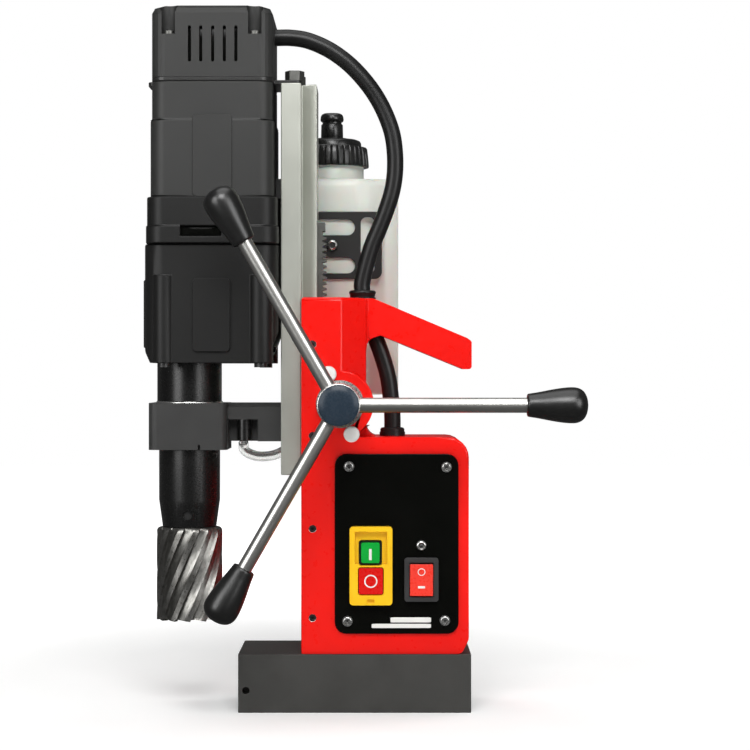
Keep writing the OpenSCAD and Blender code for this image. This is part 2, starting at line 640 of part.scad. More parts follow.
top_bolt_x = slide_x1 - 5;
top_bolts_y = [-14, 14];
bracket_bolts_z = [bracket_z0 + 10, bracket_z0 + bracket_h - 10];

rack_pitch = PI * feed_module;
rack_z0 = slide_z0 + 1;
rack_z1 = rack_z0 + rack_l;
first_tooth = ceil((rack_z0 + 1 - axis_z) / rack_pitch - 0.5);
last_tooth = floor((rack_z1 - 8 - axis_z) / rack_pitch - 0.5);
rack_root_x = rack_tip_x - 2.25 * feed_module;
module rack() color([0.6, 0.6, 0.6]) {
    block(tail_x, rack_root_x, -rack_w / 2, rack_w / 2, rack_z0, rack_z1);
    front_plate(-rack_w / 2, rack_w / 2) polygon(concat([[rack_root_x - 1, rack_z1],
        [rack_root_x - 1, rack_z0],
        [rack_root_x, rack_z0]],
        [for (k = [first_tooth : last_tooth], p = [[0, -0.34], [1, -0.12], [1, 0.12], [0, 0.34]])
        [rack_root_x + p[0] * 2.25 * feed_module, axis_z + (k + 0.5 + p[1]) * rack_pitch]],
        [[rack_root_x, rack_z1 - 6], [rack_tip_x - 1, rack_z1 - 6], [rack_tip_x - 1, rack_z1]]));
}

module top_plate() color([0.1, 0.1, 0.1]) difference() {
    union() {
        round_box(motor_x, motor_half, motor_half, motor_top, cap_z, 10);
        plan_plate(motor_top, cap_z) polygon(rect(motor_x, -22, slide_x1 - motor_x, 44, 4));
        plan_plate(motor_top, cap_z) polygon(rect(motor_x - motor_half - 4.8, -12, motor_half, 24, 4));
    }
    pin_z(motor_x, 0, motor_top - 1, cap_z + 1, motor_half - 8);
    for (y = top_bolts_y) pin_z(top_bolt_x, y, motor_top - 1, cap_z + 1, 4.3);
}

module carriage_screws() color("silver") {
    for (y = top_bolts_y) {
        pin_z(top_bolt_x, y, cap_z, cap_z + 7, 6.9, $fn = 6);
        pin_z(top_bolt_x, y, slide_z1 - 18, cap_z + 1, 4);
    }
    for (z = bracket_bolts_z) {
        pin_y(slide_x0 + 5, z, slide_w / 2 - 9, slide_w / 2 + bracket_t + 1, 2.5);
        pin_y(slide_x0 + 5, z, slide_w / 2 + bracket_t, slide_w / 2 + bracket_t + 3.5, 4.2);
    }
    pin_y(neck_x + 0.8, bracket_z0 + 24.3, bracket_y0 - 2.4, bracket_y0, 3.8);
    pin_y(neck_x + 0.8, bracket_z0 + 24.3, bracket_y0 - 1, tank_y0, 2.5);
}

module mount_block() color([0.12, 0.12, 0.12])
    block(motor_x + motor_half + 1, slide_x0, -20, 20, head_top, head_top + 14);

/* Motor */

vent_places = [-15.1, -7.4, 0.8, 8.8, 16.7];
cap_screw_places = [for (x = [-1, 1], y = [-1, 1]) [motor_x + x * (motor_half - 12.2),
    y * (motor_half - 4)]];
cap_seat_z = cap_top - 20.5;

// The cap's outside: straight walls, then an edge that rounds over in two slopes
module cap_shape() {
    round_box(motor_x, motor_half, motor_half, cap_z, cap_top - 6, 10);
    hull() for (step = [[0, 6.01], [1.7, 2.4]])
        round_box(motor_x, motor_half - step[0], motor_half - step[0],
            cap_top - step[1] - 0.01, cap_top - step[1], 9);
    hull() for (step = [[1.7, 2.4], [7, 0]])
        round_box(motor_x, motor_half - step[0], motor_half - step[0],
            cap_top - step[1] - 0.01, cap_top - step[1], 8);
}

module motor_end_cap() color([0.08, 0.08, 0.08]) difference() {
    cap_shape();
    difference() {
        round_box(motor_x, motor_half - 4, motor_half - 4, cap_z - 1, cap_top - 8, 9);
        pin_z(motor_x, 0, cap_top - 22, cap_top, 12);
        for (p = cap_screw_places) pin_z(p.x, p.y, cap_z - 2, cap_top, 9);
    }
    for (p = cap_screw_places) {
        pin_z(p.x, p.y, cap_seat_z, cap_top + 1, 6);
        pin_z(p.x, p.y, cap_z - 1, cap_seat_z + 1, 2 + seat_gap);
    }
    pin_z(motor_x, 0, cap_top - 23, cap_top - 9, rotor_r + running_gap);
    for (x = vent_places) front_plate(-motor_half - 1, motor_half + 1)
        polygon(rect(motor_x + x - 1.1, cap_z + 10.1, 2.2, 24.7, 1));
    pin_x(0, 469, motor_x + motor_half - 5, motor_x + motor_half + 1, conduit_r + 0.3);
}

module cap_screws() color("silver") for (p = cap_screw_places) {
    pin_z(p.x, p.y, cap_seat_z, cap_seat_z + 2.4, 3.4);
    pin_z(p.x, p.y, cap_z + 1, cap_seat_z + 1, 2);
}

module brush_holders() color("darkgoldenrod") for (s = [-1, 1])
    block(motor_x - 6, motor_x + 6, s > 0 ? 14 : 4.2 - motor_half,
        s > 0 ? motor_half - 4.2 : -14, cap_z, cap_z + 9);

module motor_housing() color([0.08, 0.08, 0.08]) difference() {
    union() {
        round_box(motor_x, motor_half, motor_half, head_top, motor_top, 10);
        round_box(motor_x, motor_half + 1, motor_half + 1, head_top, head_top + 53, 11);
        front_plate(-motor_half - 2, -motor_half + 2) polygon(rect(motor_x - 13, head_top, 27, 56, 3));
    }
    pin_z(motor_x, 0, head_top - 1, motor_top + 1, motor_half - 3.4);
}

module stator() color("dimgray") difference() {
    pin_z(motor_x, 0, head_top + 8, motor_top - 14, motor_half - 3.45);
    pin_z(motor_x, 0, head_top, motor_top, 25);
}

module rotor() color("gray") {
    pin_z(motor_x, 0, head_top - 46.01, cap_top - 10, rotor_r);
    pin_z(motor_x, 0, head_top + 12, motor_top - 18, 24.4);
    pin_z(motor_x, 0, motor_top - 6, cap_z + 8, 13);
    pin_z(motor_x, 0, head_top - 14, head_top - 6, 33);
    translate([motor_x, 0, head_top - 66]) rotate(atan2(counter_y, counter_dx)) linear_extrude(20)
        polygon(gear_outline(fast_pinion_teeth, fast_module));
}

module gear_head() color([0.09, 0.09, 0.09]) difference() {
    union() {
        round_box(motor_x, gearbox_half - 0.7, gearbox_half - 1.5, box_top, box_top + 12, 12);
        round_box(motor_x, gearbox_half - 1.4, gearbox_half - 2.2, box_top + 11.99, head_top, 12);
    }
    pin_z(motor_x, 0, box_top + 8, head_top + 1, 37);
    pin_z(motor_x, 0, box_top - 1, box_top + 9, 11 + seat_gap);
    pin_z(counter_x, counter_y, box_top - 1, box_top + 4, 4 + running_gap);
    front_plate(-gearbox_half, -gearbox_half + 5) polygon(rect(motor_x - 21.4, box_top + 4.8, 28.4, 7.2, 0));
}

module bearing(x, y, z0, z1, r_in, r_out) difference() {
    pin_z(x, y, z0, z1, r_out);
    pin_z(x, y, z0 - 1, z1 + 1, r_in + running_gap);
}

module bearings() color("silver") {
    bearing(motor_x, 0, box_top, box_top + 8, rotor_r, 11);
    bearing(spindle_x, 0, collar_z0 + 4, collar_z0 + 18, spindle_r, quill_r - 2.7);
    bearing(spindle_x, 0, gearbox_z - 4, gearbox_z + 10, spindle_r, quill_r - 2.7);
}

quill_flange_r = gearbox_half - gearbox_wall - spindle_offset + 0.3;
gearbox_floor = gearbox_z + 8;
gearbox_face = [[motor_x - gearbox_half - 0.5, box_top, 0], [motor_x - gearbox_half - 0.5, gearbox_z + 8, 0],
    [motor_x - gearbox_half + 4, gearbox_z, 0], [motor_x + gearbox_half - 9.5, gearbox_z, 0],
    [motor_x + gearbox_half - 0.5, gearbox_z + 22, 0], [motor_x + gearbox_half - 0.5, box_top, 0]];
module gearbox_casing() color([0.08, 0.08, 0.08]) difference() {
    union() {
        intersection() {
            round_box(motor_x - 0.5, gearbox_half, motor_half, gearbox_z, box_top, 14);
            front_plate(-motor_half - 1, motor_half + 1) polygon(rounded(gearbox_face));
        }
        for (s = [-1, 1]) {
            pin_z(motor_x - 33, s * (motor_half - 5), gearbox_z, box_top - 22, 7.6);
            pin_z(motor_x + 33.5, s * (motor_half - 5), gearbox_z, box_top - 22, 8.6);
        }
        front_plate(-motor_half - 2, -motor_half + 3)
            polygon(rect(motor_x - 13, gearbox_z + 7.7, 25.7, 50.2, 3));
        block(motor_x - gearbox_half - 3, motor_x - gearbox_half + 3, -14, 14, gearbox_z + 10.5,
            gearbox_z + 58);
    }
    round_box(motor_x - 0.5, gearbox_half - gearbox_wall, motor_half - 12, gearbox_floor, box_top + 1, 6);
    pin_z(spindle_x, 0, gearbox_z - 1, gearbox_floor + 1, quill_r + seat_gap);
    pin_z(counter_x, counter_y, gearbox_floor - 5, gearbox_floor + 1, 4 + running_gap);
    for (p = gearbox_screw_places) pin_z(p.x, p.y, gearbox_z, gearbox_z + 20, 2.5 + seat_gap);
}

gearbox_screw_places = [for (s = [-1, 1], x = [motor_x - 33, motor_x + 33.5]) [x, s * (motor_half - 4)]];
module gearbox_screws() color("dimgray") for (p = gearbox_screw_places) {
    pin_z(p.x, p.y, gearbox_z - 3, gearbox_z, 4.5);
    pin_z(p.x, p.y, gearbox_z - 1, gearbox_z + 19, 2.5);
}

module countershaft() color("gray") {
    pin_z(counter_x, counter_y, gearbox_floor - 4, box_top + 3, 4);
    translate([counter_x, counter_y, head_top - 64]) rotate(atan2(counter_y, counter_dx)
        + 180 / fast_gear_teeth)
        linear_extrude(12) polygon(gear_outline(fast_gear_teeth, fast_module));
    translate([counter_x, counter_y, gearbox_floor + 14])
        rotate(atan2(counter_y, counter_x - spindle_x)) linear_extrude(18)
        polygon(gear_outline(slow_pinion_teeth, slow_module));
}

/* Spindle */

module quill() color([0.1, 0.1, 0.1]) difference() {
    union() {
        pin_z(spindle_x, 0, collar_z0 + 1.5, gearbox_floor + 1, quill_r);
        pin_z(spindle_x, 0, gearbox_floor, gearbox_floor + 4, quill_flange_r);
    }
    pin_z(spindle_x, 0, collar_z0, gearbox_floor + 5, quill_r - 2.65);
}

spindle_top = gearbox_floor + 34;
taper_h = 19.1;
shank_r = 9.5;
shank_l = 30;
module spindle() color([0.16, 0.16, 0.17]) difference() {
    union() {
        pin_z(spindle_x, 0, nose_top - 0.01, spindle_top, spindle_r);
        translate([spindle_x, 0, 0]) rotate_extrude() polygon([[0, cutter_top], [nose_r - 2.6, cutter_top],
            [nose_r, cutter_top + taper_h], [nose_r, nose_top], [0, nose_top]]);
    }
    pin_z(spindle_x, 0, cutter_top - 1, cutter_top + shank_l + 0.2, shank_r + seat_gap);
    pin_z(spindle_x, 0, cutter_top + shank_l, cutter_top + shank_l + 40, pilot_r + running_gap);
    for (s = [-1, 1]) pin_y(spindle_x, cutter_top + 8.9, s > 0 ? shank_r - 1 : -nose_r,
        s > 0 ? nose_r : 1 - shank_r,
        3 + seat_gap);
}

module spindle_gear() color("gray") translate([spindle_x, 0, gearbox_floor + 15]) difference() {
    rotate(atan2(counter_y, counter_x - spindle_x) + 180 / slow_gear_teeth) linear_extrude(16)
        polygon(gear_outline(slow_gear_teeth, slow_module));
    translate([0, 0, -1]) cylinder(r = spindle_r + seat_gap, h = 18);
}

module grub_screws() color("dimgray") for (s = [-1, 1]) pin_y(spindle_x, cutter_top + 8.9,
    s > 0 ? shank_r + 0.1 : 3.4 - nose_r, s > 0 ? nose_r - 3.4 : -shank_r - 0.1, 3);

// The cutter: a fluted cup on a plain shank, with a hole for the pilot pin
flute_lead = 330;
flute_depth = 1.8;
flute_outline = [for (i = [0 : flutes - 1], p = [[0, 0], [0.14, -0.9], [0.34, -1], [0.5, -0.55], [0.6, 0],
    [0.8, 0]])
    (cutter_r + p[1] * flute_depth) * [cos((i + p[0]) * 360 / flutes), sin((i + p[0]) * 360 / flutes)]];
module cutter() color([0.75, 0.75, 0.74]) translate([spindle_x, 0, cutter_z0]) difference() {
    union() {
        linear_extrude(cutter_l - 2, twist = -360 * cutter_l / flute_lead, slices = 12, segments = 1)
            polygon(flute_outline);
        translate([0, 0, cutter_l - 2.01]) cylinder(r = cutter_r - flute_depth - 0.5, h = 2.01);
        translate([0, 0, cutter_l - 0.01]) cylinder(r = shank_r, h = shank_l);
    }
    translate([0, 0, -1]) cylinder(r = cutter_r - cutter_wall, h = cutter_l - 9);
    cylinder(r = pilot_r + running_gap, h = cutter_l + shank_l + 1);
}

module pilot_pin() color("silver") translate([spindle_x, 0, cutter_z0 + 3]) {
    cylinder(r1 = 1, r2 = pilot_r, h = 4);
    translate([0, 0, 3.99]) cylinder(r = pilot_r, h = cutter_l + shank_l + 4);
}

/* Collar bracket and bottle */

collar_x0 = spindle_x - 26.5;
collar_x1 = spindle_x + 28;
arm_z0 = collar_z0 + 5.8;
pocket_z1 = arm_z0 + 15.3;
collar_bolt_places = [for (y = [-15, 15]) [collar_x1 + 11.5, y]];
module collar_bracket() color([0.11, 0.11, 0.11]) difference() {
    union() {
        plan_plate(collar_z0, collar_z1) polygon(rect(collar_x0, -28, collar_x1 - collar_x0, 56, 6));
        block(collar_x1 - 4, slide_x0, -20, 20, arm_z0, collar_z1 - 2.6);
        block(collar_x1 - 4, slide_x0, -14, 14, arm_z0, collar_z1);
    }
    pin_z(spindle_x, 0, collar_z0 - 1, collar_z1 + 1, quill_r + seat_gap);
    block(spindle_x + quill_r - 2, collar_x1 + 4, -1, 1, collar_z0 - 1, collar_z1 + 1);
    block(spindle_x + 8, spindle_x + 9.6, -29, -quill_r, collar_z0 - 1, collar_z0 + 3.6);
    for (s = [-1, 1]) block(collar_x1 + 0.4, collar_x1 + 21, s > 0 ? 9 : -21, s > 0 ? 21 : -9,
        arm_z0 - 1, pocket_z1);
    for (p = collar_bolt_places) pin_z(p.x, p.y, pocket_z1 - 1, pocket_z1 + 6, 2.5 + seat_gap);
    pin_z(hose_route[0].x, hose_route[0].y, arm_z0 - 1, arm_z0 + 2, 3);
}

module collar_bolts() color("dimgray") for (p = collar_bolt_places) {
    pin_z(p.x, p.y, arm_z0 + 0.6, pocket_z1, 5);
    pin_z(p.x, p.y, pocket_z1 - 1, pocket_z1 + 5.5, 2.5);
}

bracket_x1 = slide_x0 + 70;
module tank_bracket() color([0.06, 0.06, 0.06]) difference() {
    union() {
        block(slide_x0, slide_x1 - 1, slide_w / 2, slide_w / 2 + bracket_t, bracket_z0,
            bracket_z0 + bracket_h);
        block(slide_x1 - 4, slide_x1 - 1, slide_w / 2, tank_y0, bracket_z0, bracket_z0 + bracket_h);
        front_plate(bracket_y0, tank_y0) polygon(rounded([[slide_x1 - 4, bracket_z0, 0],
            [bracket_x1, bracket_z0, 5],
            [bracket_x1, bracket_z0 + bracket_h, 5], [slide_x1 - 4, bracket_z0 + bracket_h, 0]]));
    }
    for (z = [bracket_z0 + 4, bracket_z0 + 31.6]) front_plate(bracket_y0 - 1, tank_y0 + 1)
        polygon(rounded([[slide_x1 + 3, z, 3], [bracket_x1 - 19.5, z, 5.5],
            [bracket_x1 - 19.5, z + 11.4, 5.5],
        [slide_x1 + 3, z + 11.4, 3]]));
    front_plate(bracket_y0 - 1, tank_y0 + 1)
        polygon(rect(bracket_x1 - 15.3, bracket_z0 + 4, 9.9, bracket_h - 8, 4));
    pin_y(neck_x + 0.8, bracket_z0 + 24.3, bracket_y0 - 1, tank_y0 + 1, 2.6);
    for (z = bracket_bolts_z) pin_y(slide_x0 + 5, z, slide_w / 2 - 1, slide_w / 2 + bracket_t + 1, 2.6);
}

module tank_shape(grow, z0, z1) plan_plate(z0, z1)
    polygon(rect(tank_x0 + grow, tank_y0 + grow, tank_w - 2 * grow, tank_d - 2 * grow, 12));
module coolant_tank() color([0.93, 0.93, 0.93, 0.75]) difference() {
    union() {
        tank_shape(0, tank_z0, tank_z1 - 5);
        tank_shape(2.5, tank_z1 - 5.01, tank_z1);
        pin_z(neck_x, tank_y, tank_z1 - 0.01, neck_z1, neck_r);
        pin_z(hose_end.x, hose_end.y, hose_end.z, tank_z0 + 0.01, 4.5);
    }
    tank_shape(tank_wall, tank_z0 + tank_wall, tank_z1 - 5 - tank_wall);
    tank_shape(tank_wall + 2.5, tank_z1 - 5.01 - tank_wall, tank_z1 - tank_wall);
    pin_z(neck_x, tank_y, tank_z1 - 5, neck_z1 + 1, neck_r - 2);
}
hose_end = hose_route[len(hose_route) - 1];

module tank_cap() color([0.05, 0.05, 0.05]) translate([neck_x, tank_y, tank_cap_z0]) difference() {
    union() {
        cylinder(r1 = neck_r + 3.8, r2 = neck_r + 2.6, h = 14.8);
        translate([0, 0, 14.79]) cylinder(r1 = neck_r - 1.4, r2 = neck_r - 2.4, h = 4.2);
        translate([0, 0, 18.98]) cylinder(r1 = neck_r - 2.4, r2 = 10, h = 2.4);
        translate([0, 0, 21]) cylinder(r = 4, h = 9);
    }
    translate([0, 0, -1]) cylinder(r = neck_r + seat_gap, h = neck_z1 - tank_cap_z0 + 1);
    cylinder(r = 1.5, h = 31);
}

module tank_spout() color([0.05, 0.05, 0.05]) translate([neck_x, tank_y, tank_cap_z0 + 21.5]) difference() {
    union() {
        cylinder(r = 8.2, h = 10.5);
        translate([0, 0, 10.49]) cylinder(r = 7.4, h = 1.6);
        translate([0, 0, 12.08]) cylinder(r1 = 7.6, r2 = 8.6, h = 1.5);
        translate([0, 0, 13.57]) cylinder(r1 = 8.6, r2 = 6.9, h = 4.9);
    }
    translate([0, 0, -1]) cylinder(r = 4 + running_gap, h = 10.5);
    cylinder(r = 1.5, h = 19);
}

module coolant_hose() color([0.85, 0.85, 0.85]) tube(hose_route, hose_r, 10);

magnet_housing();
magnet_cores();
magnet_coils();
magnet_potting();
base_bolts();
frame_casting();
gib_strip();
gib_screws();
rear_cover();
box_screws();
control_panel();
switch_frame();
switch_base();
rocker_bezel();
indicator_lamp();
control_board();
conduit_gland();
conduit_grommet();
conduit_lower();
conduit_upper();
mains_gland();
shaft_bushes();
flange_screws();
pinion_shaft();
feed_hub();
hub_cap();
levers();
knobs();
slide();
rack();
carriage_screws();
top_plate();
mount_block();
motor_end_cap();
cap_screws();
brush_holders();
motor_housing();
stator();
gear_head();
bearings();
gearbox_casing();
gearbox_screws();
quill();
collar_bracket();
collar_bolts();
tank_bracket();
coolant_tank();
tank_cap();
coolant_hose();
rotor();
countershaft();
spindle();
spindle_gear();
cutter();
grub_screws();
pilot_pin();
start_button();
stop_button();
magnet_rocker();
tank_spout();
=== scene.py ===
"""Looks of the magnetic drill press: finishes, refined surfaces, studio and camera.

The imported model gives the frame. Each sub-assembly is a class that dresses its CAD nodes and adds the
surfaces that a plain solid can't hold, such as the fluted cutter, the knobs and the cable conduit.
"""

from __future__ import annotations

import json
import logging
import math
from dataclasses import dataclass, field
from enum import Enum
from typing import Sequence

import bmesh
import bpy
import numpy as np
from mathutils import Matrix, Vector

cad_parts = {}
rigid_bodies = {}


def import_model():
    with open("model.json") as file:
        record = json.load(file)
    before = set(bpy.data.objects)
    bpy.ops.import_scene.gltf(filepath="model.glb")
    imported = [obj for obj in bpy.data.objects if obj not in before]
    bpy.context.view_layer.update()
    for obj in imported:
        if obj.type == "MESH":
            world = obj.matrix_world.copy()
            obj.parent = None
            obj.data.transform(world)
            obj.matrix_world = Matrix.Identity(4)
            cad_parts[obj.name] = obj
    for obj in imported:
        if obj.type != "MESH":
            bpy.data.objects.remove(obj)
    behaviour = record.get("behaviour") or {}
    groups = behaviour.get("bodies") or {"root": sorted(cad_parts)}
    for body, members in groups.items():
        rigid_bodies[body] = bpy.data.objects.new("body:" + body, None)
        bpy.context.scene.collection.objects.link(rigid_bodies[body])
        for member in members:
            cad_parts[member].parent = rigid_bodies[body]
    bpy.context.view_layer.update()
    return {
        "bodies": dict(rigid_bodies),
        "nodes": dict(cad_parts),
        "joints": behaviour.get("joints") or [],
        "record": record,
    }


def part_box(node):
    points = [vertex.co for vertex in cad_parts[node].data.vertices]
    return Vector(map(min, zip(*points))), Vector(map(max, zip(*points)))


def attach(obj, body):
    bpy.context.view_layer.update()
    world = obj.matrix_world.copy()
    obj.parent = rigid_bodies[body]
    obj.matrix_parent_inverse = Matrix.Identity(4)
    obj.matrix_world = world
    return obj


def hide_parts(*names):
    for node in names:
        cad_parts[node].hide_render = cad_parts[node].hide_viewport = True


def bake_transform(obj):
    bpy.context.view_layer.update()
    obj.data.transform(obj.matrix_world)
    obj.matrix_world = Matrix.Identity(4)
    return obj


LOG = logging.getLogger("drill_press")
MM = 0.001
Colour = tuple[float, float, float]
Point = tuple[float, float, float]
NOISE_DETAIL = 3.0
COAT_ROUGHNESS = 0.08
SCATTER_DEPTH = 4 * MM
RUBBED_GREY = (0.5, 0.49, 0.47, 1.0)
WHITE = (1.0, 1.0, 1.0, 1.0)


class Grain(Enum):
    """How the fine relief of a finish runs: the stretch of its noise along X, Y and Z."""

    EVEN = (1.0, 1.0, 1.0)
    ALONG_X = (0.02, 1.0, 1.0)
    ALONG_Z = (1.0, 1.0, 0.02)
    ALONG_V = (1.0, 0.01, 1.0)


class Lookup(Enum):
    """Which coordinates a finish reads."""

    OBJECT = "Object"
    SURFACE = "UV"


@dataclass(frozen=True)
class Finish:
    """One surface finish, built from noise in the shader nodes."""

    name: str
    colour: Colour
    shade: Colour
    roughness: tuple[float, float] = (0.35, 0.5)
    metallic: float = 0.0
    coat: float = 0.0
    grain: Grain = Grain.EVEN
    lookup: Lookup = Lookup.OBJECT
    detail: float = 900.0
    relief: float = 0.00003
    strength: float = 0.3
    cloud: float = 30.0
    transmission: float = 0.0
    subsurface: float = 0.0
    specular: float = 0.5
    wear: float = 0.0

    def material(self) -> bpy.types.Material:
        """Returns the finish's material, made at its first use."""
        found = bpy.data.materials.get("finish_" + self.name)
        return found if found else self._build()

    def _build(self) -> bpy.types.Material:
        """Builds the node tree: two noises mix the colours, set the roughness and raise the relief.

        Returns:
            The new material.
        """
        material = bpy.data.materials.new("finish_" + self.name)
        material.use_nodes = True
        tree = material.node_tree
        shader = tree.nodes["Principled BSDF"]
        shader.inputs["Metallic"].default_value = self.metallic
        shader.inputs["Coat Weight"].default_value = self.coat
        shader.inputs["Coat Roughness"].default_value = COAT_ROUGHNESS
        shader.inputs["Transmission Weight"].default_value = self.transmission
        shader.inputs["Subsurface Weight"].default_value = self.subsurface
        shader.inputs["Subsurface Scale"].default_value = SCATTER_DEPTH
        shader.inputs["Specular IOR Level"].default_value = self.specular
        place = tree.nodes.new("ShaderNodeTexCoord")
        stretch = tree.nodes.new("ShaderNodeMapping")
        stretch.inputs["Scale"].default_value = self.grain.value
        tree.links.new(place.outputs[self.lookup.value], stretch.inputs["Vector"])
        fine = self._noise(tree, stretch.outputs["Vector"], self.detail)
        broad = self._noise(tree, place.outputs["Object"], self.cloud)
        blend = tree.nodes.new("ShaderNodeMix")
        blend.data_type = "RGBA"
        blend.inputs[6].default_value = (*self.colour, 1.0)
        blend.inputs[7].default_value = (*self.shade, 1.0)
        tree.links.new(self._spread(tree, broad, 0.35, 0.65, 0.0, 1.0), blend.inputs[0])
        tint = blend.outputs[2]
        if self.wear > 0.0:
            tint = self._rubbed(tree, tint, self._spread(tree, fine, 0.62, 0.75, 0.0, self.wear))
        tree.links.new(tint, shader.inputs["Base Color"])
        rough = self._spread(tree, fine, 0.3, 0.7, *self.roughness)
        tree.links.new(rough, shader.inputs["Roughness"])
        bump = tree.nodes.new("ShaderNodeBump")
        bump.inputs["Strength"].default_value = self.strength
        bump.inputs["Distance"].default_value = self.relief
        tree.links.new(fine, bump.inputs["Height"])
        tree.links.new(bump.outputs["Normal"], shader.inputs["Normal"])
        return material

    @staticmethod
    def _noise(tree: bpy.types.NodeTree, vector: bpy.types.NodeSocket,
               scale: float) -> bpy.types.NodeSocket:
        """Returns the value of a noise of the given scale over the vector."""
        noise = tree.nodes.new("ShaderNodeTexNoise")
        noise.inputs["Scale"].default_value = scale
        noise.inputs["Detail"].default_value = NOISE_DETAIL
        tree.links.new(vector, noise.inputs["Vector"])
        return noise.outputs["Fac"]

    @staticmethod
    def _spread(tree: bpy.types.NodeTree, value: bpy.types.NodeSocket, low: float, high: float,
                out_low: float, out_high: float) -> bpy.types.NodeSocket:
        """Maps low..high of a value to out_low..out_high, clamped."""
        node = tree.nodes.new("ShaderNodeMapRange")
        names = ("From Min", "From Max", "To Min", "To Max")
        for name, number in zip(names, (low, high, out_low, out_high)):
            node.inputs[name].default_value = number
        tree.links.new(value, node.inputs["Value"])
        return node.outputs["Result"]

    @staticmethod
    def _rubbed(tree: bpy.types.NodeTree, tint: bpy.types.NodeSocket,
                amount: bpy.types.NodeSocket) -> bpy.types.NodeSocket:
        """Lightens a colour towards rubbed grey by an amount from 0 to 1."""
        rub = tree.nodes.new("ShaderNodeMix")
        rub.data_type = "RGBA"
        rub.inputs[7].default_value = RUBBED_GREY
        tree.links.new(amount, rub.inputs[0])
        tree.links.new(tint, rub.inputs[6])
        return rub.outputs[2]


RED_PAINT = Finish("red_enamel", (0.82, 0.005, 0.0015), (0.77, 0.004, 0.0015), (0.26, 0.36), coat=0.2,
                   detail=240.0, relief=0.0001, strength=0.02, cloud=14.0, specular=0.16)
BASE_STEEL = Finish("blackened_steel", (0.043, 0.042, 0.0385), (0.052, 0.051, 0.047), (0.42, 0.56),
                    metallic=0.25, detail=1400.0, relief=0.00004, strength=0.3, cloud=45.0, wear=0.05)
MOULDED = Finish("moulded_black", (0.021, 0.0213, 0.0204), (0.0235, 0.0238, 0.0229), (0.42, 0.54),
                 detail=2600.0, relief=0.00006, strength=0.35, cloud=22.0, specular=0.32)
CAST_BLACK = Finish("cast_black", (0.0068, 0.0068, 0.0065), (0.0078, 0.0078, 0.0075), (0.38, 0.5),
                    detail=2000.0, relief=0.00006, strength=0.35, cloud=30.0, specular=0.26)
COLLAR_BLACK = Finish("collar_black", (0.026, 0.026, 0.0254), (0.030, 0.030, 0.0293), (0.4, 0.56),
                      detail=1500.0, relief=0.00008, strength=0.4, cloud=60.0, specular=0.36)
SPINDLE_BLACK = Finish("oiled_black", (0.003, 0.003, 0.0029), (0.0038, 0.0038, 0.0036), (0.26, 0.32),
                       detail=900.0, relief=0.00001, strength=0.06, cloud=60.0, specular=0.5)
PANEL_BLACK = Finish("panel_gloss", (0.0018, 0.002, 0.0015), (0.0025, 0.0027, 0.0021), (0.16, 0.24),
                     detail=500.0, relief=0.00001, strength=0.1, specular=0.14)
SHEET_BLACK = Finish("sheet_black", (0.011, 0.011, 0.0106), (0.013, 0.013, 0.0125), (0.3, 0.42),
                     detail=1500.0, relief=0.00003, strength=0.2)
CAP_BLACK = Finish("ribbed_cap_black", (0.007, 0.007, 0.0067), (0.0085, 0.0085, 0.0081), (0.26, 0.34),
                   detail=900.0, relief=0.00001, strength=0.04, specular=0.55)
GROUND = Finish("ground_steel", (0.46, 0.47, 0.425), (0.40, 0.41, 0.365), (0.34, 0.46), metallic=0.66,
                grain=Grain.ALONG_Z, detail=2200.0, relief=0.00002, strength=0.2, cloud=16.0)
POLISHED = Finish("turned_steel", (0.64, 0.635, 0.61), (0.54, 0.535, 0.51), (0.26, 0.38), metallic=1.0,
                  grain=Grain.ALONG_V, lookup=Lookup.SURFACE, detail=240.0, relief=0.00001, strength=0.08)
BRIGHT = Finish("bright_steel", (0.68, 0.68, 0.66), (0.56, 0.56, 0.545), (0.2, 0.34), metallic=1.0,
                detail=1200.0, relief=0.00001, strength=0.2, cloud=80.0)
DARK_STEEL = Finish("dark_steel", (0.10, 0.10, 0.095), (0.15, 0.15, 0.14), (0.32, 0.48), metallic=0.85,
                    detail=1500.0, relief=0.00002, strength=0.3)
BLACK_OXIDE = Finish("black_oxide", (0.012, 0.012, 0.0118), (0.02, 0.02, 0.0195), (0.3, 0.44),
                     detail=1500.0, relief=0.00002, strength=0.3)
# Painted shade: a darker steel for the cutter's gullet faces, standing in for the shade inside the flutes.
FLUTE_SHADE_STEEL = Finish("flute_painted_shade", (0.16, 0.158, 0.148), (0.26, 0.255, 0.24), (0.3, 0.46), metallic=1.0,
                     detail=900.0, relief=0.00004, strength=0.5, cloud=160.0)
CUTTER_STEEL = Finish("cutter_steel", (0.31, 0.305, 0.29), (0.19, 0.186, 0.173), (0.26, 0.42), metallic=1.0,
                      detail=900.0, relief=0.00004, strength=0.5, cloud=160.0)
HUB_BLUE = Finish("hub_cap_blue", (0.013, 0.023, 0.036), (0.019, 0.031, 0.046), (0.22, 0.32),
                  detail=700.0, relief=0.00001, strength=0.15, cloud=90.0, specular=0.2)
KNOB_BLACK = Finish("knob_satin", (0.004, 0.004, 0.0038), (0.006, 0.006, 0.0057), (0.3, 0.36),
                    detail=400.0, relief=0.00001, strength=0.04, specular=0.6)
RUBBER = Finish("cable_rubber", (0.006, 0.006, 0.006), (0.009, 0.009, 0.009), (0.33, 0.37), detail=200.0,
                relief=0.000002, strength=0.02, specular=0.28)
YELLOW = Finish("switch_yellow", (0.90, 0.54, 0.012), (0.84, 0.48, 0.01), (0.26, 0.36),
                detail=600.0, relief=0.00002, strength=0.1, specular=0.15)
SWITCH_GREY = Finish("bezel_grey", (0.018, 0.0175, 0.0185), (0.023, 0.0225, 0.0235), (0.42, 0.54),
                     detail=2400.0, relief=0.00004, strength=0.4)
SWITCH_BLACK = Finish("switch_black", (0.006, 0.006, 0.006), (0.01, 0.01, 0.01), (0.35, 0.5), detail=2000.0)
GREEN = Finish("button_green", (0.001, 0.38, 0.04), (0.001, 0.34, 0.035), (0.26, 0.36), detail=600.0,
               relief=0.00002, strength=0.1, specular=0.15)
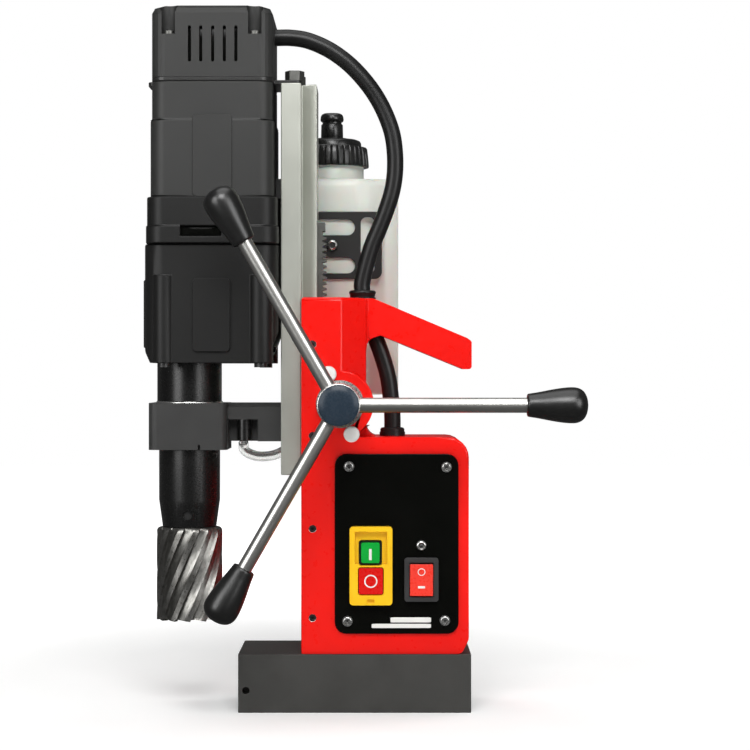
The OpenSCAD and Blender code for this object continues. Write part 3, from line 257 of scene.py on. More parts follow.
BUTTON_RED = Finish("button_red", (0.66, 0.004, 0.001), (0.6, 0.003, 0.001), (0.24, 0.34),
                    detail=600.0, relief=0.00002, strength=0.1, specular=0.18)
ROCKER_RED = Finish("rocker_red", (0.84, 0.04, 0.022), (0.8, 0.034, 0.019), (0.24, 0.34),
                    detail=600.0, relief=0.00002, strength=0.1, specular=0.3)
PRINT_WHITE = Finish("print_white", (0.78, 0.78, 0.75), (0.73, 0.73, 0.70), (0.4, 0.5), detail=900.0)
CAP_WHITE = Finish("plug_white", (0.72, 0.72, 0.70), (0.66, 0.66, 0.64), (0.3, 0.42), detail=900.0)
BOTTLE = Finish("bottle_white", (0.68, 0.705, 0.645), (0.655, 0.68, 0.622), (0.36, 0.46), detail=300.0,
                relief=0.00008, strength=0.12, transmission=0.04, subsurface=0.3, cloud=18.0)
CLEAR_HOSE = Finish("clear_hose", (0.90, 0.91, 0.90), (0.84, 0.85, 0.84), (0.06, 0.12), detail=500.0,
                    relief=0.00001, transmission=0.96, cloud=40.0)
BRONZE = Finish("bearing_bronze", (0.52, 0.36, 0.16), (0.46, 0.3, 0.13), (0.25, 0.4), metallic=1.0)
COPPER = Finish("winding_copper", (0.55, 0.22, 0.09), (0.42, 0.16, 0.06), (0.3, 0.45), metallic=0.9,
                grain=Grain.ALONG_X, detail=1800.0, relief=0.0002, strength=0.7)
LAMINATION = Finish("core_laminations", (0.22, 0.22, 0.225), (0.16, 0.16, 0.165), (0.4, 0.55), metallic=0.8,
                    grain=Grain.ALONG_X, detail=3000.0, relief=0.0001, strength=0.6)
RESIN = Finish("potting_resin", (0.03, 0.022, 0.018), (0.045, 0.034, 0.028), (0.3, 0.5), detail=600.0)
BOARD_GREEN = Finish("board_green", (0.01, 0.12, 0.05), (0.015, 0.16, 0.07), (0.3, 0.45), detail=1500.0)
FLOOR = Finish("studio_floor", (0.92, 0.92, 0.915), (0.90, 0.90, 0.895), (0.6, 0.75), detail=30.0,
               relief=0.0001, strength=0.05, cloud=2.0, specular=0.2)


def lattice_mesh(name: str, points: np.ndarray, wrap_rows: bool = False, wrap_cols: bool = False,
                 crease_deg: float = 38.0) -> bpy.types.Object:
    """Makes a mesh object from a grid of points, one quad between each four neighbours.

    Args:
        name: The piece's name.
        points: An array of rows x columns x 3, in metres.
        wrap_rows: Whether the last row joins the first.
        wrap_cols: Whether the last column joins the first.
        crease_deg: Edges sharper than this stay hard in the shading.

    Returns:
        The new object, merged at its poles, with its faces pointing outwards.
    """
    rows, cols = points.shape[:2]
    row, col = np.meshgrid(np.arange(rows - (not wrap_rows)), np.arange(cols - (not wrap_cols)),
                           indexing="ij")
    next_row, next_col = (row + 1) % rows, (col + 1) % cols
    quads = np.stack([row * cols + col, row * cols + next_col, next_row * cols + next_col,
                      next_row * cols + col], -1)
    mesh = bpy.data.meshes.new(name)
    mesh.from_pydata(points.reshape(-1, 3), [], quads.reshape(-1, 4).tolist())
    across = np.stack([col, col + 1, col + 1, col], -1) / cols
    along = np.stack([row, row, row + 1, row + 1], -1) / rows
    layer = mesh.uv_layers.new(name="UVMap")
    layer.data.foreach_set("uv", np.stack([across, along], -1).astype(np.float32).ravel())
    shell = bmesh.new()
    shell.from_mesh(mesh)
    bmesh.ops.remove_doubles(shell, verts=shell.verts, dist=1e-6)
    bmesh.ops.dissolve_degenerate(shell, edges=shell.edges, dist=1e-7)
    bmesh.ops.recalc_face_normals(shell, faces=shell.faces)
    shell.to_mesh(mesh)
    shell.free()
    mesh.shade_smooth()
    mesh.set_sharp_from_angle(angle=math.radians(crease_deg))
    piece = bpy.data.objects.new(name, mesh)
    bpy.context.scene.collection.objects.link(piece)
    return piece


def axes_about(axis: Sequence[float]) -> tuple[np.ndarray, np.ndarray, np.ndarray]:
    """Returns two unit vectors square to the axis, and the axis itself as a unit vector."""
    along = np.asarray(axis, float) / np.linalg.norm(axis)
    helper = np.array([0.0, 0.0, 1.0]) if abs(along[2]) < 0.9 else np.array([1.0, 0.0, 0.0])
    first = np.cross(helper, along)
    first /= np.linalg.norm(first)
    return first, np.cross(along, first), along


def revolve(name: str, profile: Sequence[tuple[float, float]], origin: Sequence[float],
            axis: Sequence[float], segments: int = 96, ring: bool = False) -> bpy.types.Object:
    """Turns a profile about an axis: origin + height * axis + radius * (cos t, sin t) across it.

    Args:
        name: The piece's name.
        profile: (radius, height) pairs in metres, along the outline.
        origin: The point of height 0.
        axis: The axis of the turn.
        segments: Facets round the axis.
        ring: Whether the profile closes on itself.

    Returns:
        The new object.
    """
    first, second, along = axes_about(axis)
    outline = np.asarray(profile, float)
    turn = np.linspace(0.0, 2.0 * math.pi, segments, endpoint=False)
    spokes = np.cos(turn)[:, None] * first + np.sin(turn)[:, None] * second
    points = np.asarray(origin, float) + outline[:, 1, None, None] * along + outline[:, 0, None, None] * spokes
    return lattice_mesh(name, points, wrap_rows=ring, wrap_cols=True)


def smooth_path(points: Sequence[Point], steps: int = 8) -> np.ndarray:
    """Returns a Catmull-Rom curve through the points, steps samples to a span."""
    knots = np.asarray(points, float)
    padded = np.vstack([2 * knots[0] - knots[1], knots, 2 * knots[-1] - knots[-2]])
    before, start, end, after = padded[:-3], padded[1:-2], padded[2:-1], padded[3:]
    t = (np.arange(steps) / steps)[None, :, None]
    before, start, end, after = (part[:, None, :] for part in (before, start, end, after))
    curve = 0.5 * (2 * start + (end - before) * t + (2 * before - 5 * start + 4 * end - after) * t**2
                   + (3 * start - before - 3 * end + after) * t**3)
    return np.vstack([curve.reshape(-1, 3), knots[-1]])


def sweep(name: str, path: np.ndarray, radius: float, sides: int = 32, bore: float = 0.0) -> bpy.types.Object:
    """Carries a circle along a path, with closed ends, or as a hollow tube with flat rings at its ends.

    Each ring stands square to the path's tangent, its first spoke turned as little as a fixed side vector
    (world Y, projected square to the tangent) allows.

    Args:
        name: The piece's name.
        path: Ring centres, in metres.
        radius: The tube's radius.
        sides: Facets round the tube.
        bore: The radius of the hollow, or 0 for a solid one.

    Returns:
        The new object.
    """
    tangent = np.gradient(path, axis=0)
    tangent /= np.linalg.norm(tangent, axis=1)[:, None]
    side = np.array([0.0, 1.0, 0.0]) - tangent[:, 1, None] * tangent
    side /= np.linalg.norm(side, axis=1)[:, None]
    other = np.cross(tangent, side)
    turn = np.linspace(0.0, 2.0 * math.pi, sides, endpoint=False)
    spokes = np.cos(turn)[None, :, None] * side[:, None, :] + np.sin(turn)[None, :, None] * other[:, None, :]
    rings = path[:, None, :] + radius * spokes
    if bore > 0.0:
        inside = (path[:, None, :] + bore * spokes)[::-1]
        return lattice_mesh(name, np.concatenate([rings, inside]), wrap_rows=True, wrap_cols=True,
                            crease_deg=50.0)
    first = np.repeat(path[:1], sides, 0)[None]
    last = np.repeat(path[-1:], sides, 0)[None]
    return lattice_mesh(name, np.concatenate([first, rings, last]), wrap_cols=True, crease_deg=50.0)


def edge_weights(mesh: bpy.types.Mesh, width: float, angle_deg: float) -> np.ndarray:
    """Works out how far each edge may be rounded without meeting its neighbours.

    The weight is 1 where every edge that meets an end of this one is longer than 2.5 widths and both faces
    are as wide, and falls with the least of them. A face's width across an edge is its area over the edge's
    length. The weight is 0 where the faces meet flatter than the given angle.

    Args:
        mesh: The merged mesh.
        width: The full rounding width, in metres.
        angle_deg: The smallest angle that counts as an edge.

    Returns:
        One weight for each edge.
    """
    coords = np.empty(len(mesh.vertices) * 3)
    mesh.vertices.foreach_get("co", coords)
    coords = coords.reshape(-1, 3)
    ends = np.empty(len(mesh.edges) * 2, int)
    mesh.edges.foreach_get("vertices", ends)
    ends = ends.reshape(-1, 2)
    lengths = np.linalg.norm(coords[ends[:, 0]] - coords[ends[:, 1]], axis=1)
    shortest = np.full(len(mesh.vertices), 1e9)
    np.minimum.at(shortest, ends[:, 0], lengths)
    np.minimum.at(shortest, ends[:, 1], lengths)
    normals = np.empty(len(mesh.polygons) * 3)
    mesh.polygons.foreach_get("normal", normals)
    normals = normals.reshape(-1, 3)
    sizes = np.empty(len(mesh.polygons), int)
    mesh.polygons.foreach_get("loop_total", sizes)
    owner = np.repeat(np.arange(len(mesh.polygons)), sizes)
    edge_of = np.empty(len(mesh.loops), int)
    mesh.loops.foreach_get("edge_index", edge_of)
    order = np.argsort(edge_of, kind="stable")
    counts = np.bincount(edge_of, minlength=len(mesh.edges))
    starts = np.cumsum(counts) - counts
    paired = np.flatnonzero(counts == 2)
    one, two = owner[order[starts[paired]]], owner[order[starts[paired] + 1]]
    bend = (normals[one] * normals[two]).sum(1)
    weights = np.zeros(len(mesh.edges))
    room = np.minimum(shortest[ends[:, 0]], shortest[ends[:, 1]])
    areas = np.empty(len(mesh.polygons))
    mesh.polygons.foreach_get("area", areas)
    across = np.minimum(areas[one], areas[two]) / np.maximum(lengths[paired], 1e-9)
    room[paired] = np.minimum(room[paired], across)
    sharp = paired[bend < math.cos(math.radians(angle_deg))]
    weights[sharp] = np.clip(room[sharp] * 0.4 / width, 0.01, 1.0)
    return weights


@dataclass
class Workshop:
    """The loaded frame, and the ways in which pieces join it."""

    frame: dict
    slots: dict[str, str] = field(init=False)
    homes: dict[str, str] = field(init=False)

    def __post_init__(self) -> None:
        """Looks up each node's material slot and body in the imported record."""
        record = self.frame["record"]
        self.slots = {part["node"]: part["material_slot"] for part in record["subparts"]}
        self.homes = {node: body for body, nodes in record["behaviour"]["bodies"].items() for node in nodes}

    def corners(self, node: str) -> tuple[np.ndarray, np.ndarray]:
        """Returns a node's lowest and highest corners, in metres."""
        low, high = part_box(node)
        return np.array(low, float), np.array(high, float)

    def centre(self, node: str) -> np.ndarray:
        """Returns the middle of a node's box."""
        low, high = self.corners(node)
        return (low + high) / 2

    def dress(self, finish: Finish, *nodes: str) -> None:
        """Gives CAD nodes a finish, and leaves their meshes as they are."""
        for node in nodes:
            mesh = self.frame["nodes"][node].data
            mesh.materials.clear()
            mesh.materials.append(finish.material())
            LOG.info("dressed %s in %s", node, finish.name)

    def join(self, piece: bpy.types.Object, finish: Finish, node: str, replace: bool = True) -> bpy.types.Object:
        """Dresses a piece and lets it ride with a node's body.

        Args:
            piece: The new piece.
            finish: Its finish.
            node: The CAD node that it belongs to.
            replace: Whether it stands for that node.

        Returns:
            The piece.
        """
        piece.data.materials.clear()
        piece.data.materials.append(finish.material())
        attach(piece, self.homes[node])
        if replace:
            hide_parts(node)
        LOG.info("piece %s rides on %s", piece.name, self.homes[node])
        return piece

    def soften(self, finish: Finish, node: str, width: float = 0.6 * MM, angle: float = 32.0) -> bpy.types.Object:
        """Makes a merged copy of a CAD node with rounded edges, which stands for the node.

        Args:
            finish: The copy's finish.
            node: The CAD node.
            width: The rounding width, in metres.
            angle: The smallest angle that counts as an edge, in degrees.

        Returns:
            The copy.
        """
        source = self.frame["nodes"][node]
        shell = bmesh.new()
        shell.from_mesh(source.data)
        shell.transform(source.matrix_world)
        bmesh.ops.remove_doubles(shell, verts=shell.verts, dist=2e-6)
        bmesh.ops.dissolve_limit(shell, angle_limit=math.radians(0.6), verts=shell.verts, edges=shell.edges)
        raw = bpy.data.meshes.new(node + "_raw")
        shell.to_mesh(raw)
        shell.free()
        mesh = bpy.data.meshes.new(node + "_rounded")
        coords = np.empty(len(raw.vertices) * 3)
        raw.vertices.foreach_get("co", coords)
        mesh.from_pydata(coords.reshape(-1, 3), [], [tuple(face.vertices) for face in raw.polygons])
        bpy.data.meshes.remove(raw)
        weights = mesh.attributes.new("bevel_weight_edge", "FLOAT", "EDGE")
        weights.data.foreach_set("value", edge_weights(mesh, width, angle).astype(np.float32))
        mesh.shade_smooth()
        piece = bpy.data.objects.new(node + "_rounded", mesh)
        bpy.context.scene.collection.objects.link(piece)
        bevel = piece.modifiers.new("round_edges", "BEVEL")
        bevel.limit_method = "WEIGHT"
        bevel.width = width
        bevel.segments = 2
        bevel.use_clamp_overlap = False
        bevel.harden_normals = True
        even = piece.modifiers.new("even_shading", "WEIGHTED_NORMAL")
        even.keep_sharp = True
        return self.join(piece, finish, node)

    def slab(self, name: str, centre: Sequence[float], half: tuple[float, float], depth: float,
              node: str, finish: Finish) -> None:
        """Adds a thin closed slab square to Y.

        Its outline is the super-ellipse |x/a|^n + |z/b|^n = 1 with n = 14, so its corners are just rounded.

        Args:
            name: The piece's name.
            centre: The middle of its face towards the front.
            half: Half its width and half its height.
            depth: Its thickness, towards the back.
            node: The CAD node that it belongs to.
            finish: Its finish.
        """
        turn = np.linspace(0.0, 2.0 * math.pi, 72, endpoint=False)
        cosine, sine = np.cos(turn), np.sin(turn)
        reach = (np.abs(cosine) ** 14 + np.abs(sine) ** 14) ** (-1 / 14)
        layers = ((0.0, 0.0), (0.98, 0.0), (1.0, 0.2), (1.0, 1.0), (0.0, 1.0))
        grid = np.empty((len(layers), len(turn), 3))
        for row, (grow, back) in enumerate(layers):
            grid[row, :, 0] = centre[0] + grow * half[0] * reach * cosine
            grid[row, :, 1] = centre[1] + back * depth
            grid[row, :, 2] = centre[2] + grow * half[1] * reach * sine
        self.join(lattice_mesh(name, grid, wrap_cols=True), finish, node, replace=False)

    def socket_screw(self, name: str, place: Point, node: str, scale: float = 1.0) -> None:
        """Adds a button-head screw that faces the front: a bright rounded rim round a socket filled by a black hex
        plug, which is painted shade.

        Args:
            name: The name of its pieces.
            place: The middle of the head's front.
            node: The CAD node that it belongs to.
            scale: Its size against a head of radius 3.6 mm.
        """
        unit = scale * MM
        rim = np.array([(0.1, 1.3), (2.0, 1.2), (2.1, 0.3), (2.4, 0.02), (2.8, 0.15), (3.3, 0.7), (3.55, 1.5),
                        (3.6, 2.1), (0.1, 2.1)]) * unit
        self.join(revolve(name, rim, place, (0, 1, 0), 40, ring=True), BRIGHT, node, replace=False)
        # Painted shade: a black hex plug in the socket, standing in for the shade in the recess.
        socket = np.array([(0, 0.75), (0.5, 0.8), (0.7, 1.1), (2.05, 1.1), (2.05, 1.6), (0, 1.6)]) * unit
        socket_shade = revolve(name + "_socket_shade", socket, place, (0, 1, 0), 6)
        self.join(socket_shade, BLACK_OXIDE, node, replace=False)


@dataclass
class MagnetBase:
    """The electromagnet that clamps the machine to the work."""

    shop: Workshop
    edge: float = 1.2 * MM

    def build(self) -> None:
        """Rounds the housing and dresses the poles, coils and resin."""
        self.shop.soften(BASE_STEEL, "magnet_housing", self.edge)
        self.shop.dress(LAMINATION, "magnet_cores")
        self.shop.dress(COPPER, "magnet_coils")
        self.shop.dress(RESIN, "magnet_potting")
        self.shop.dress(DARK_STEEL, "base_bolts")


@dataclass
class Column:
    """The painted casting with its gib, cover and cable fittings."""

    shop: Workshop
    edge: float = 2.2 * MM
    gib_screw_heights: tuple[float, ...] = (64.9, 126.1, 190.0, 252.8)

    def build(self) -> None:
        """Rounds the casting and dresses what is screwed to it."""
        self.shop.soften(RED_PAINT, "frame_casting", self.edge, 28.0)
        self.shop.dress(DARK_STEEL, "gib_strip")
        self.shop.dress(BLACK_OXIDE, "gib_screws")
        self.shop.soften(SHEET_BLACK, "rear_cover", 0.4 * MM)
        self.shop.dress(BOARD_GREEN, "control_board")
        self.shop.dress(RUBBER, "mains_gland")
        self._screw_rims()
        self._gland()
        self._grommet()

    def _screw_rims(self) -> None:
        """Adds a thin bright rim round each gib screw's hole: a ring of half-round section."""
        low, high = self.shop.corners("gib_screws")
        front = self.shop.corners("frame_casting")[0][1]
        x = (low[0] + high[0]) / 2
        for index, z in enumerate(self.gib_screw_heights):
            section = [(2.5 * MM, 0.5 * MM), (2.5 * MM, -0.05 * MM), (2.62 * MM, -0.12 * MM), (2.85 * MM, 0.5 * MM)]
            rim = revolve(f"gib_screw_rim_{index}", section, (x, front, z * MM), (0, 1, 0), 40, ring=True)
            self.shop.join(rim, BRIGHT, "gib_screws", replace=False)

    def _gland(self) -> None:
        """Makes the box gland: a ribbed nut with a rounded neck."""
        low, high = self.shop.corners("conduit_gland")
        middle = (low + high) / 2
        outer = (high[0] - low[0]) / 2
        bore = outer - 3.1 * MM
        top = high[2] - low[2]
        steps = [(bore, 0), (outer - 1.0 * MM, 0), (outer - 1.0 * MM, top - 6 * MM), (outer, top - 5.8 * MM),
                 (outer, top - 3.4 * MM), (outer - 0.5 * MM, top - 3.0 * MM), (outer - 0.5 * MM, top - 1.2 * MM),
                 (outer - 1.3 * MM, top - 0.3 * MM), (bore + 0.4 * MM, top), (bore, top - 0.4 * MM)]
        gland = revolve("conduit_gland_nut", steps, (middle[0], 0.0, low[2]), (0, 0, 1), ring=True)
        self.shop.join(gland, RUBBER, "conduit_gland")

    def _grommet(self) -> None:
        """Makes the grommet: a soft ring whose outline is a rounded bead over a flat foot."""
        low, high = self.shop.corners("conduit_grommet")
        middle = (low + high) / 2
        outer = (high[0] - low[0]) / 2
        tall = high[2] - low[2]
        bore = outer - 3.4 * MM
        turn = np.linspace(-0.5, 1.0, 9) * math.pi / 2
        bead = [(outer - 1.6 * MM + 1.6 * MM * math.cos(t), tall - 1.6 * MM + 1.6 * MM * math.sin(t)) for t in turn]
        outline = [(bore, 0.0), (outer, 0.0), (outer, 0.8 * MM), (outer - 0.9 * MM, 1.4 * MM), *bead, (bore, tall)]
        grommet = revolve("conduit_grommet_ring", outline, (middle[0], 0.0, low[2]), (0, 0, 1), ring=True)
        self.shop.join(grommet, RUBBER, "conduit_grommet")


class Mark(Enum):
    """The marks that are moulded on the switches."""

    BAR = "bar"
    RING = "ring"


@dataclass
class ControlPanel:
    """The black panel with its switches, screws and plain bars."""

    shop: Workshop
    bars: tuple[tuple[float, float, float, float], ...] = ((24.6, 62.0, 27.8, 3.5), (11.7, 58.2, 40.7, 2.9))
    screws: tuple[tuple[float, float], ...] = ((-3.8, 169.0), (63.0, 168.6), (-4.9, 63.0), (61.9, 63.5))

    def build(self) -> None:
        """Dresses the panel and adds its marks and screw heads."""
        self.shop.soften(PANEL_BLACK, "control_panel", 0.35 * MM)
        self.shop.soften(YELLOW, "switch_frame", 0.5 * MM)
        self.shop.dress(SWITCH_BLACK, "switch_base")
        self.shop.soften(SWITCH_GREY, "rocker_bezel", 0.5 * MM)
        self.shop.soften(GREEN, "start_button", 0.6 * MM)
        self.shop.soften(BUTTON_RED, "stop_button", 0.8 * MM)
        self.shop.soften(ROCKER_RED, "magnet_rocker", 0.5 * MM)
        self._lamp()
        self._bars()
        self._mark("start_mark", "start_button", Mark.BAR, 1.1 * MM, 3.8 * MM)
        self._mark("stop_mark", "stop_button", Mark.RING, 0.0, 4.5 * MM)
        self._rocker_marks()
        self._screws()

    def _lamp(self) -> None:
        """Makes the lamp: a bright ring of half-round section over a flat foot, round a dark domed lens."""
        low, high = self.shop.corners("indicator_lamp")
        middle = (low + high) / 2
        depth = 4.6 * MM
        outline = [(0.1 * MM, 1.6 * MM), (1.9 * MM, 1.4 * MM), (2.1 * MM, 0.4 * MM), (2.5 * MM, 0.1 * MM),
                   (2.9 * MM, 0.3 * MM), (3.2 * MM, 1.2 * MM), (3.6 * MM, 1.7 * MM), (3.8 * MM, depth),
                   (0.1 * MM, depth)]
        place = (middle[0], low[1], middle[2])
        ring = revolve("indicator_bezel", outline, place, (0, 1, 0), 48, ring=True)
        self.shop.join(ring, BRIGHT, "indicator_lamp")
        rise = np.linspace(0.0, 1.0, 8)
        dome = [(1.85 * MM * t, 0.7 * MM + 0.7 * MM * t**2) for t in rise]
        lens = revolve("indicator_lens", [*dome, (1.85 * MM, 2.0 * MM), (0, 2.0 * MM)], place, (0, 1, 0), 40)
        self.shop.join(lens, KNOB_BLACK, "indicator_lamp", replace=False)

    def _bars(self) -> None:
        """Adds the two plain white bars at the foot of the panel."""
        front = self.shop.corners("control_panel")[0][1]
        for index, (x, z, wide, tall) in enumerate(self.bars):
            centre = ((x + wide / 2) * MM, front - 0.06 * MM, (z + tall / 2) * MM)
            half = (wide * MM / 2, tall * MM / 2)
            self.shop.slab(f"panel_bar_{index}", centre, half, 0.1 * MM, "control_panel", PRINT_WHITE)

    def _mark(self, name: str, node: str, mark: Mark, drop: float, size: float) -> None:
        """Adds a bar or a ring to a button's face.

        Args:
            name: The piece's name.
            node: The button.
            mark: Which mark.
            drop: How far below the button's middle it lies.
            size: Half the mark's height.
        """
        low, high = self.shop.corners(node)
        centre = ((low[0] + high[0]) / 2, low[1] - 0.05 * MM, (low[2] + high[2]) / 2 - drop)
        if mark is Mark.BAR:
            self.shop.slab(name, centre, (0.95 * MM, size), 0.1 * MM, node, PRINT_WHITE)
            return
        wall = 0.9 * MM
        section = [(size, 0.1 * MM), (size, 0.0), (size - wall, 0.0), (size - wall, 0.1 * MM)]
        ring = revolve(name, section, centre, (0, 1, 0), 56, ring=True)
        self.shop.join(ring, PRINT_WHITE, node, replace=False)

    def _rocker_marks(self) -> None:
        """Adds a small ring to the rocker's upper half, square to its tilted face, and a short bar below."""
        low, high = self.shop.corners("magnet_rocker")
        middle = (low + high) / 2
        quarter = (high[2] - low[2]) / 4
        tilt = math.atan2(2.4, 10.6)
        centre = (middle[0], low[1] + 1.15 * MM, middle[2] + quarter)
        section = [(2.6 * MM, 0.12 * MM), (2.6 * MM, 0.0), (2.1 * MM, 0.0), (2.1 * MM, 0.12 * MM)]
        ring = revolve("rocker_mark", section, centre, (0, math.cos(tilt), math.sin(tilt)), 40, ring=True)
        self.shop.join(ring, PRINT_WHITE, "magnet_rocker", replace=False)
        place = (middle[0], low[1] + 1.75 * MM, middle[2] - quarter + 0.6 * MM)
        self.shop.slab("rocker_bar", place, (2.4 * MM, 0.8 * MM), 0.5 * MM, "magnet_rocker", PRINT_WHITE)

    def _screws(self) -> None:
        """Adds the panel's four button-head screws."""
        front = self.shop.corners("control_panel")[0][1]
        self.shop.dress(BRIGHT, "box_screws")
        for index, (x, z) in enumerate(self.screws):
            self.shop.socket_screw(f"panel_screw_{index}", (x * MM, front - 2.1 * MM, z * MM), "box_screws")


@dataclass
class FeedHub:
    """The hub with its three levers, on the pinion shaft."""

    shop: Workshop
    lever_angles: tuple[float, ...] = (0.0, 120.0, 240.0)
    reach: float = 165.0 * MM
    knob_length: float = 40.7 * MM
    rod_radius: float = 5.0 * MM
    flange_screw_angles: tuple[float, float] = (111.0, 291.0)
    flange_screw_radius: float = 5.5 * MM
    flange_screw_pitch: float = 22.1 * MM

    def build(self) -> None:
        """Makes the hub, its cap, the rods and the knobs."""
        self.shop.dress(BRONZE, "pinion_shaft")
        self.shop.dress(BRIGHT, "shaft_bushes")
        self._hub()
        self._flange_screws()
        for index, angle in enumerate(self.lever_angles):
            self._lever(index, angle)

    def _hub(self) -> None:
        """Makes the turned hub with a bright lip, and the domed cap that sits in it."""
        low, high = self.shop.corners("feed_hub")
        middle = (low + high) / 2
        outer = (high[0] - low[0]) / 2
        long = high[1] - low[1]
        lip = 0.6 * MM
        outline = [(8.02 * MM, long), (outer - lip, long), (outer, long - lip), (outer, 17 * MM),
                   (outer - 0.5 * MM, 16.6 * MM), (outer - 0.5 * MM, 15.9 * MM), (outer, 15.5 * MM), (outer, lip),
                   (outer - 0.3 * MM, 0.1 * MM), (outer - 0.7 * MM, 0.0), (outer - 0.9 * MM, 1.5 * MM), (0, 1.5 * MM),
                   (0, 17.5 * MM), (8.02 * MM, 17.5 * MM)]
        hub = revolve("feed_hub_turned", outline, (middle[0], low[1], middle[2]), (0, 1, 0), ring=True)
        self.shop.join(hub, BRIGHT, "feed_hub")
        radius = outer - 0.95 * MM
        rise = np.linspace(0.0, 1.0, 10)
        dome = [(radius * s, -2.2 * MM + 1.9 * MM * s**4) for s in rise]
        cap = revolve("hub_cap_dome", [*dome, (radius, 1.4 * MM), (0, 1.4 * MM)], (middle[0], low[1], middle[2]),
                      (0, 1, 0))
        self.shop.join(cap, HUB_BLUE, "hub_cap")

    def _flange_screws(self) -> None:
        """Makes the two plain round heads beside the hub's flange, each a low dome on a short drum."""
        axis = self.shop.centre("feed_hub")
        radius, pitch = self.flange_screw_radius, self.flange_screw_pitch
        front = self.shop.corners("frame_casting")[0][1]
        for index, angle in enumerate(self.flange_screw_angles):
            place = (axis[0] + pitch * math.cos(math.radians(angle)), front,
                     axis[2] + pitch * math.sin(math.radians(angle)))
            outline = [(0, -4.0 * MM), (radius - 1.6 * MM, -3.9 * MM), (radius - 0.4 * MM, -3.4 * MM),
                       (radius, -2.7 * MM), (radius, 0), (3.0 * MM, 0), (3.0 * MM, 12 * MM), (0, 12 * MM)]
            head = revolve(f"flange_screw_{index}", outline, place, (0, 1, 0), 56)
            self.shop.join(head, CAP_WHITE, "flange_screws")

    def _lever(self, index: int, angle_deg: float) -> None:
        """Makes one rod and its knob.

        The knob's radius grows from its neck to three quarters of its length and closes in a round end.

        Args:
            index: The lever's number.
            angle_deg: Its angle from +X towards +Z.
        """
        hub_low, _ = self.shop.corners("feed_hub")
        middle = self.shop.centre("feed_hub")
        origin = np.array([middle[0], hub_low[1] + 8 * MM, middle[2]])
        angle = math.radians(angle_deg)
        axis = (math.cos(angle), 0.0, math.sin(angle))
        start = 7.0 * MM
        end = self.reach - self.knob_length + 8 * MM
        heights = np.concatenate([[start], np.linspace(start, end, 60), [end]])
        radii = np.full(len(heights), self.rod_radius)
        radii[[0, -1]] = 0.0
        rod = revolve(f"lever_rod_{index}", list(zip(radii, heights)), origin, axis, 48)
        self.shop.join(rod, POLISHED, "levers")
        s = np.array([0, 0.0, 0.02, 0.1, 0.2, 0.3, 0.4, 0.5, 0.6, 0.68, 0.75, 0.81, 0.87, 0.92, 0.96, 0.985, 1.0])
        r = np.array([0, 7.3, 7.7, 8.1, 8.8, 9.6, 10.4, 11.1, 11.65, 11.92, 12.0, 11.8, 11.0, 9.6, 7.3, 4.6, 0]) * MM
        knob = revolve(f"lever_knob_{index}", list(zip(r, self.reach - self.knob_length * (1 - s))), origin, axis, 72)
        finish = knob.modifiers.new("round", "SUBSURF")
        finish.levels = 1
        finish.render_levels = 1
        self.shop.join(knob, KNOB_BLACK, "knobs")


@dataclass
class Carriage:
    """The dovetail slide with its rack, top plate and fasteners."""

    shop: Workshop
    bracket_screw: Point = (-16.9 * MM, 38.35 * MM, 325.5 * MM)

    def build(self) -> None:
        """Dresses the slide's pieces."""
        self.shop.soften(GROUND, "slide", 0.7 * MM, 20.0)
        self.shop.dress(DARK_STEEL, "rack")
        self.shop.soften(SHEET_BLACK, "top_plate", 0.5 * MM)
        self.shop.soften(SHEET_BLACK, "mount_block", 0.5 * MM)
        self.shop.soften(DARK_STEEL, "carriage_screws", 0.4 * MM)
        self.shop.socket_screw("bracket_screw", self.bracket_screw, "carriage_screws", 1.09)


@dataclass
class DrillUnit:
    """Motor, gearbox, quill and collar."""

    shop: Workshop

    def build(self) -> None:
        """Rounds the housings and dresses what is inside them."""
        self.shop.dress(MOULDED, "motor_end_cap")
        self.shop.soften(MOULDED, "motor_housing", 1.2 * MM, 24.0)
        self.shop.soften(CAST_BLACK, "gear_head", 0.8 * MM, 24.0)
        self.shop.soften(CAST_BLACK, "gearbox_casing", 1.8 * MM, 24.0)
        self.shop.dress(COLLAR_BLACK, "collar_bracket")
        self.shop.soften(SPINDLE_BLACK, "collar_bolts", 0.6 * MM)
        self.shop.soften(DARK_STEEL, "cap_screws", 0.9 * MM)
        self.shop.dress(SPINDLE_BLACK, "quill")
        self.shop.dress(BLACK_OXIDE, "gearbox_screws", "brush_holders")
        self.shop.dress(LAMINATION, "stator", "rotor")
        self.shop.dress(BRIGHT, "bearings", "countershaft")
        self._painted_shade_openings()
        self._bright_ring()

    def _painted_shade_openings(self) -> None:
        """Puts dark sheets of painted shade behind the cap's vents, and a dark plate of painted shade on the floor of
        the shift window.
        """
        middle = self.shop.centre("motor_end_cap")
        # Black sheets behind the vents: painted shade inside the vent slots.
        for name, wall in (("vent_shade_front", -37.4 * MM), ("vent_shade_back", 37.0 * MM)):
            place = (middle[0] + 0.8 * MM, wall, middle[2] - 2.3 * MM)
            self.shop.slab(name, place, (18.6 * MM, 12.6 * MM), 0.4 * MM, "motor_end_cap", PANEL_BLACK)
        # Black plate in the shift window: painted shade in its recess.
        place = (middle[0] - 7.2 * MM, -41.8 * MM, 330.4 * MM)
        self.shop.slab("shift_window_shade", place, (14.1 * MM, 3.5 * MM), 0.25 * MM, "gear_head", PANEL_BLACK)

    def _bright_ring(self) -> None:
        """Adds the polished ring on the quill above the collar: a band with its upper edge rounded off."""
        collar_top = self.shop.corners("collar_bracket")[1][2]
        low, high = self.shop.corners("quill")
        spindle = self.shop.centre("spindle")
        radius = 22.65 * MM
        outline = [(radius - 1 * MM, -1.5 * MM), (radius + 0.9 * MM, -1.5 * MM), (radius + 0.9 * MM, 0.2 * MM),
                   (radius + 0.6 * MM, 0.8 * MM), (radius + 0.02 * MM, 1.2 * MM), (radius - 1 * MM, 1.2 * MM)]
        ring = revolve("quill_ring", outline, (spindle[0], 0.0, collar_top), (0, 0, 1), ring=True)
        self.shop.join(ring, BRIGHT, "quill", replace=False)


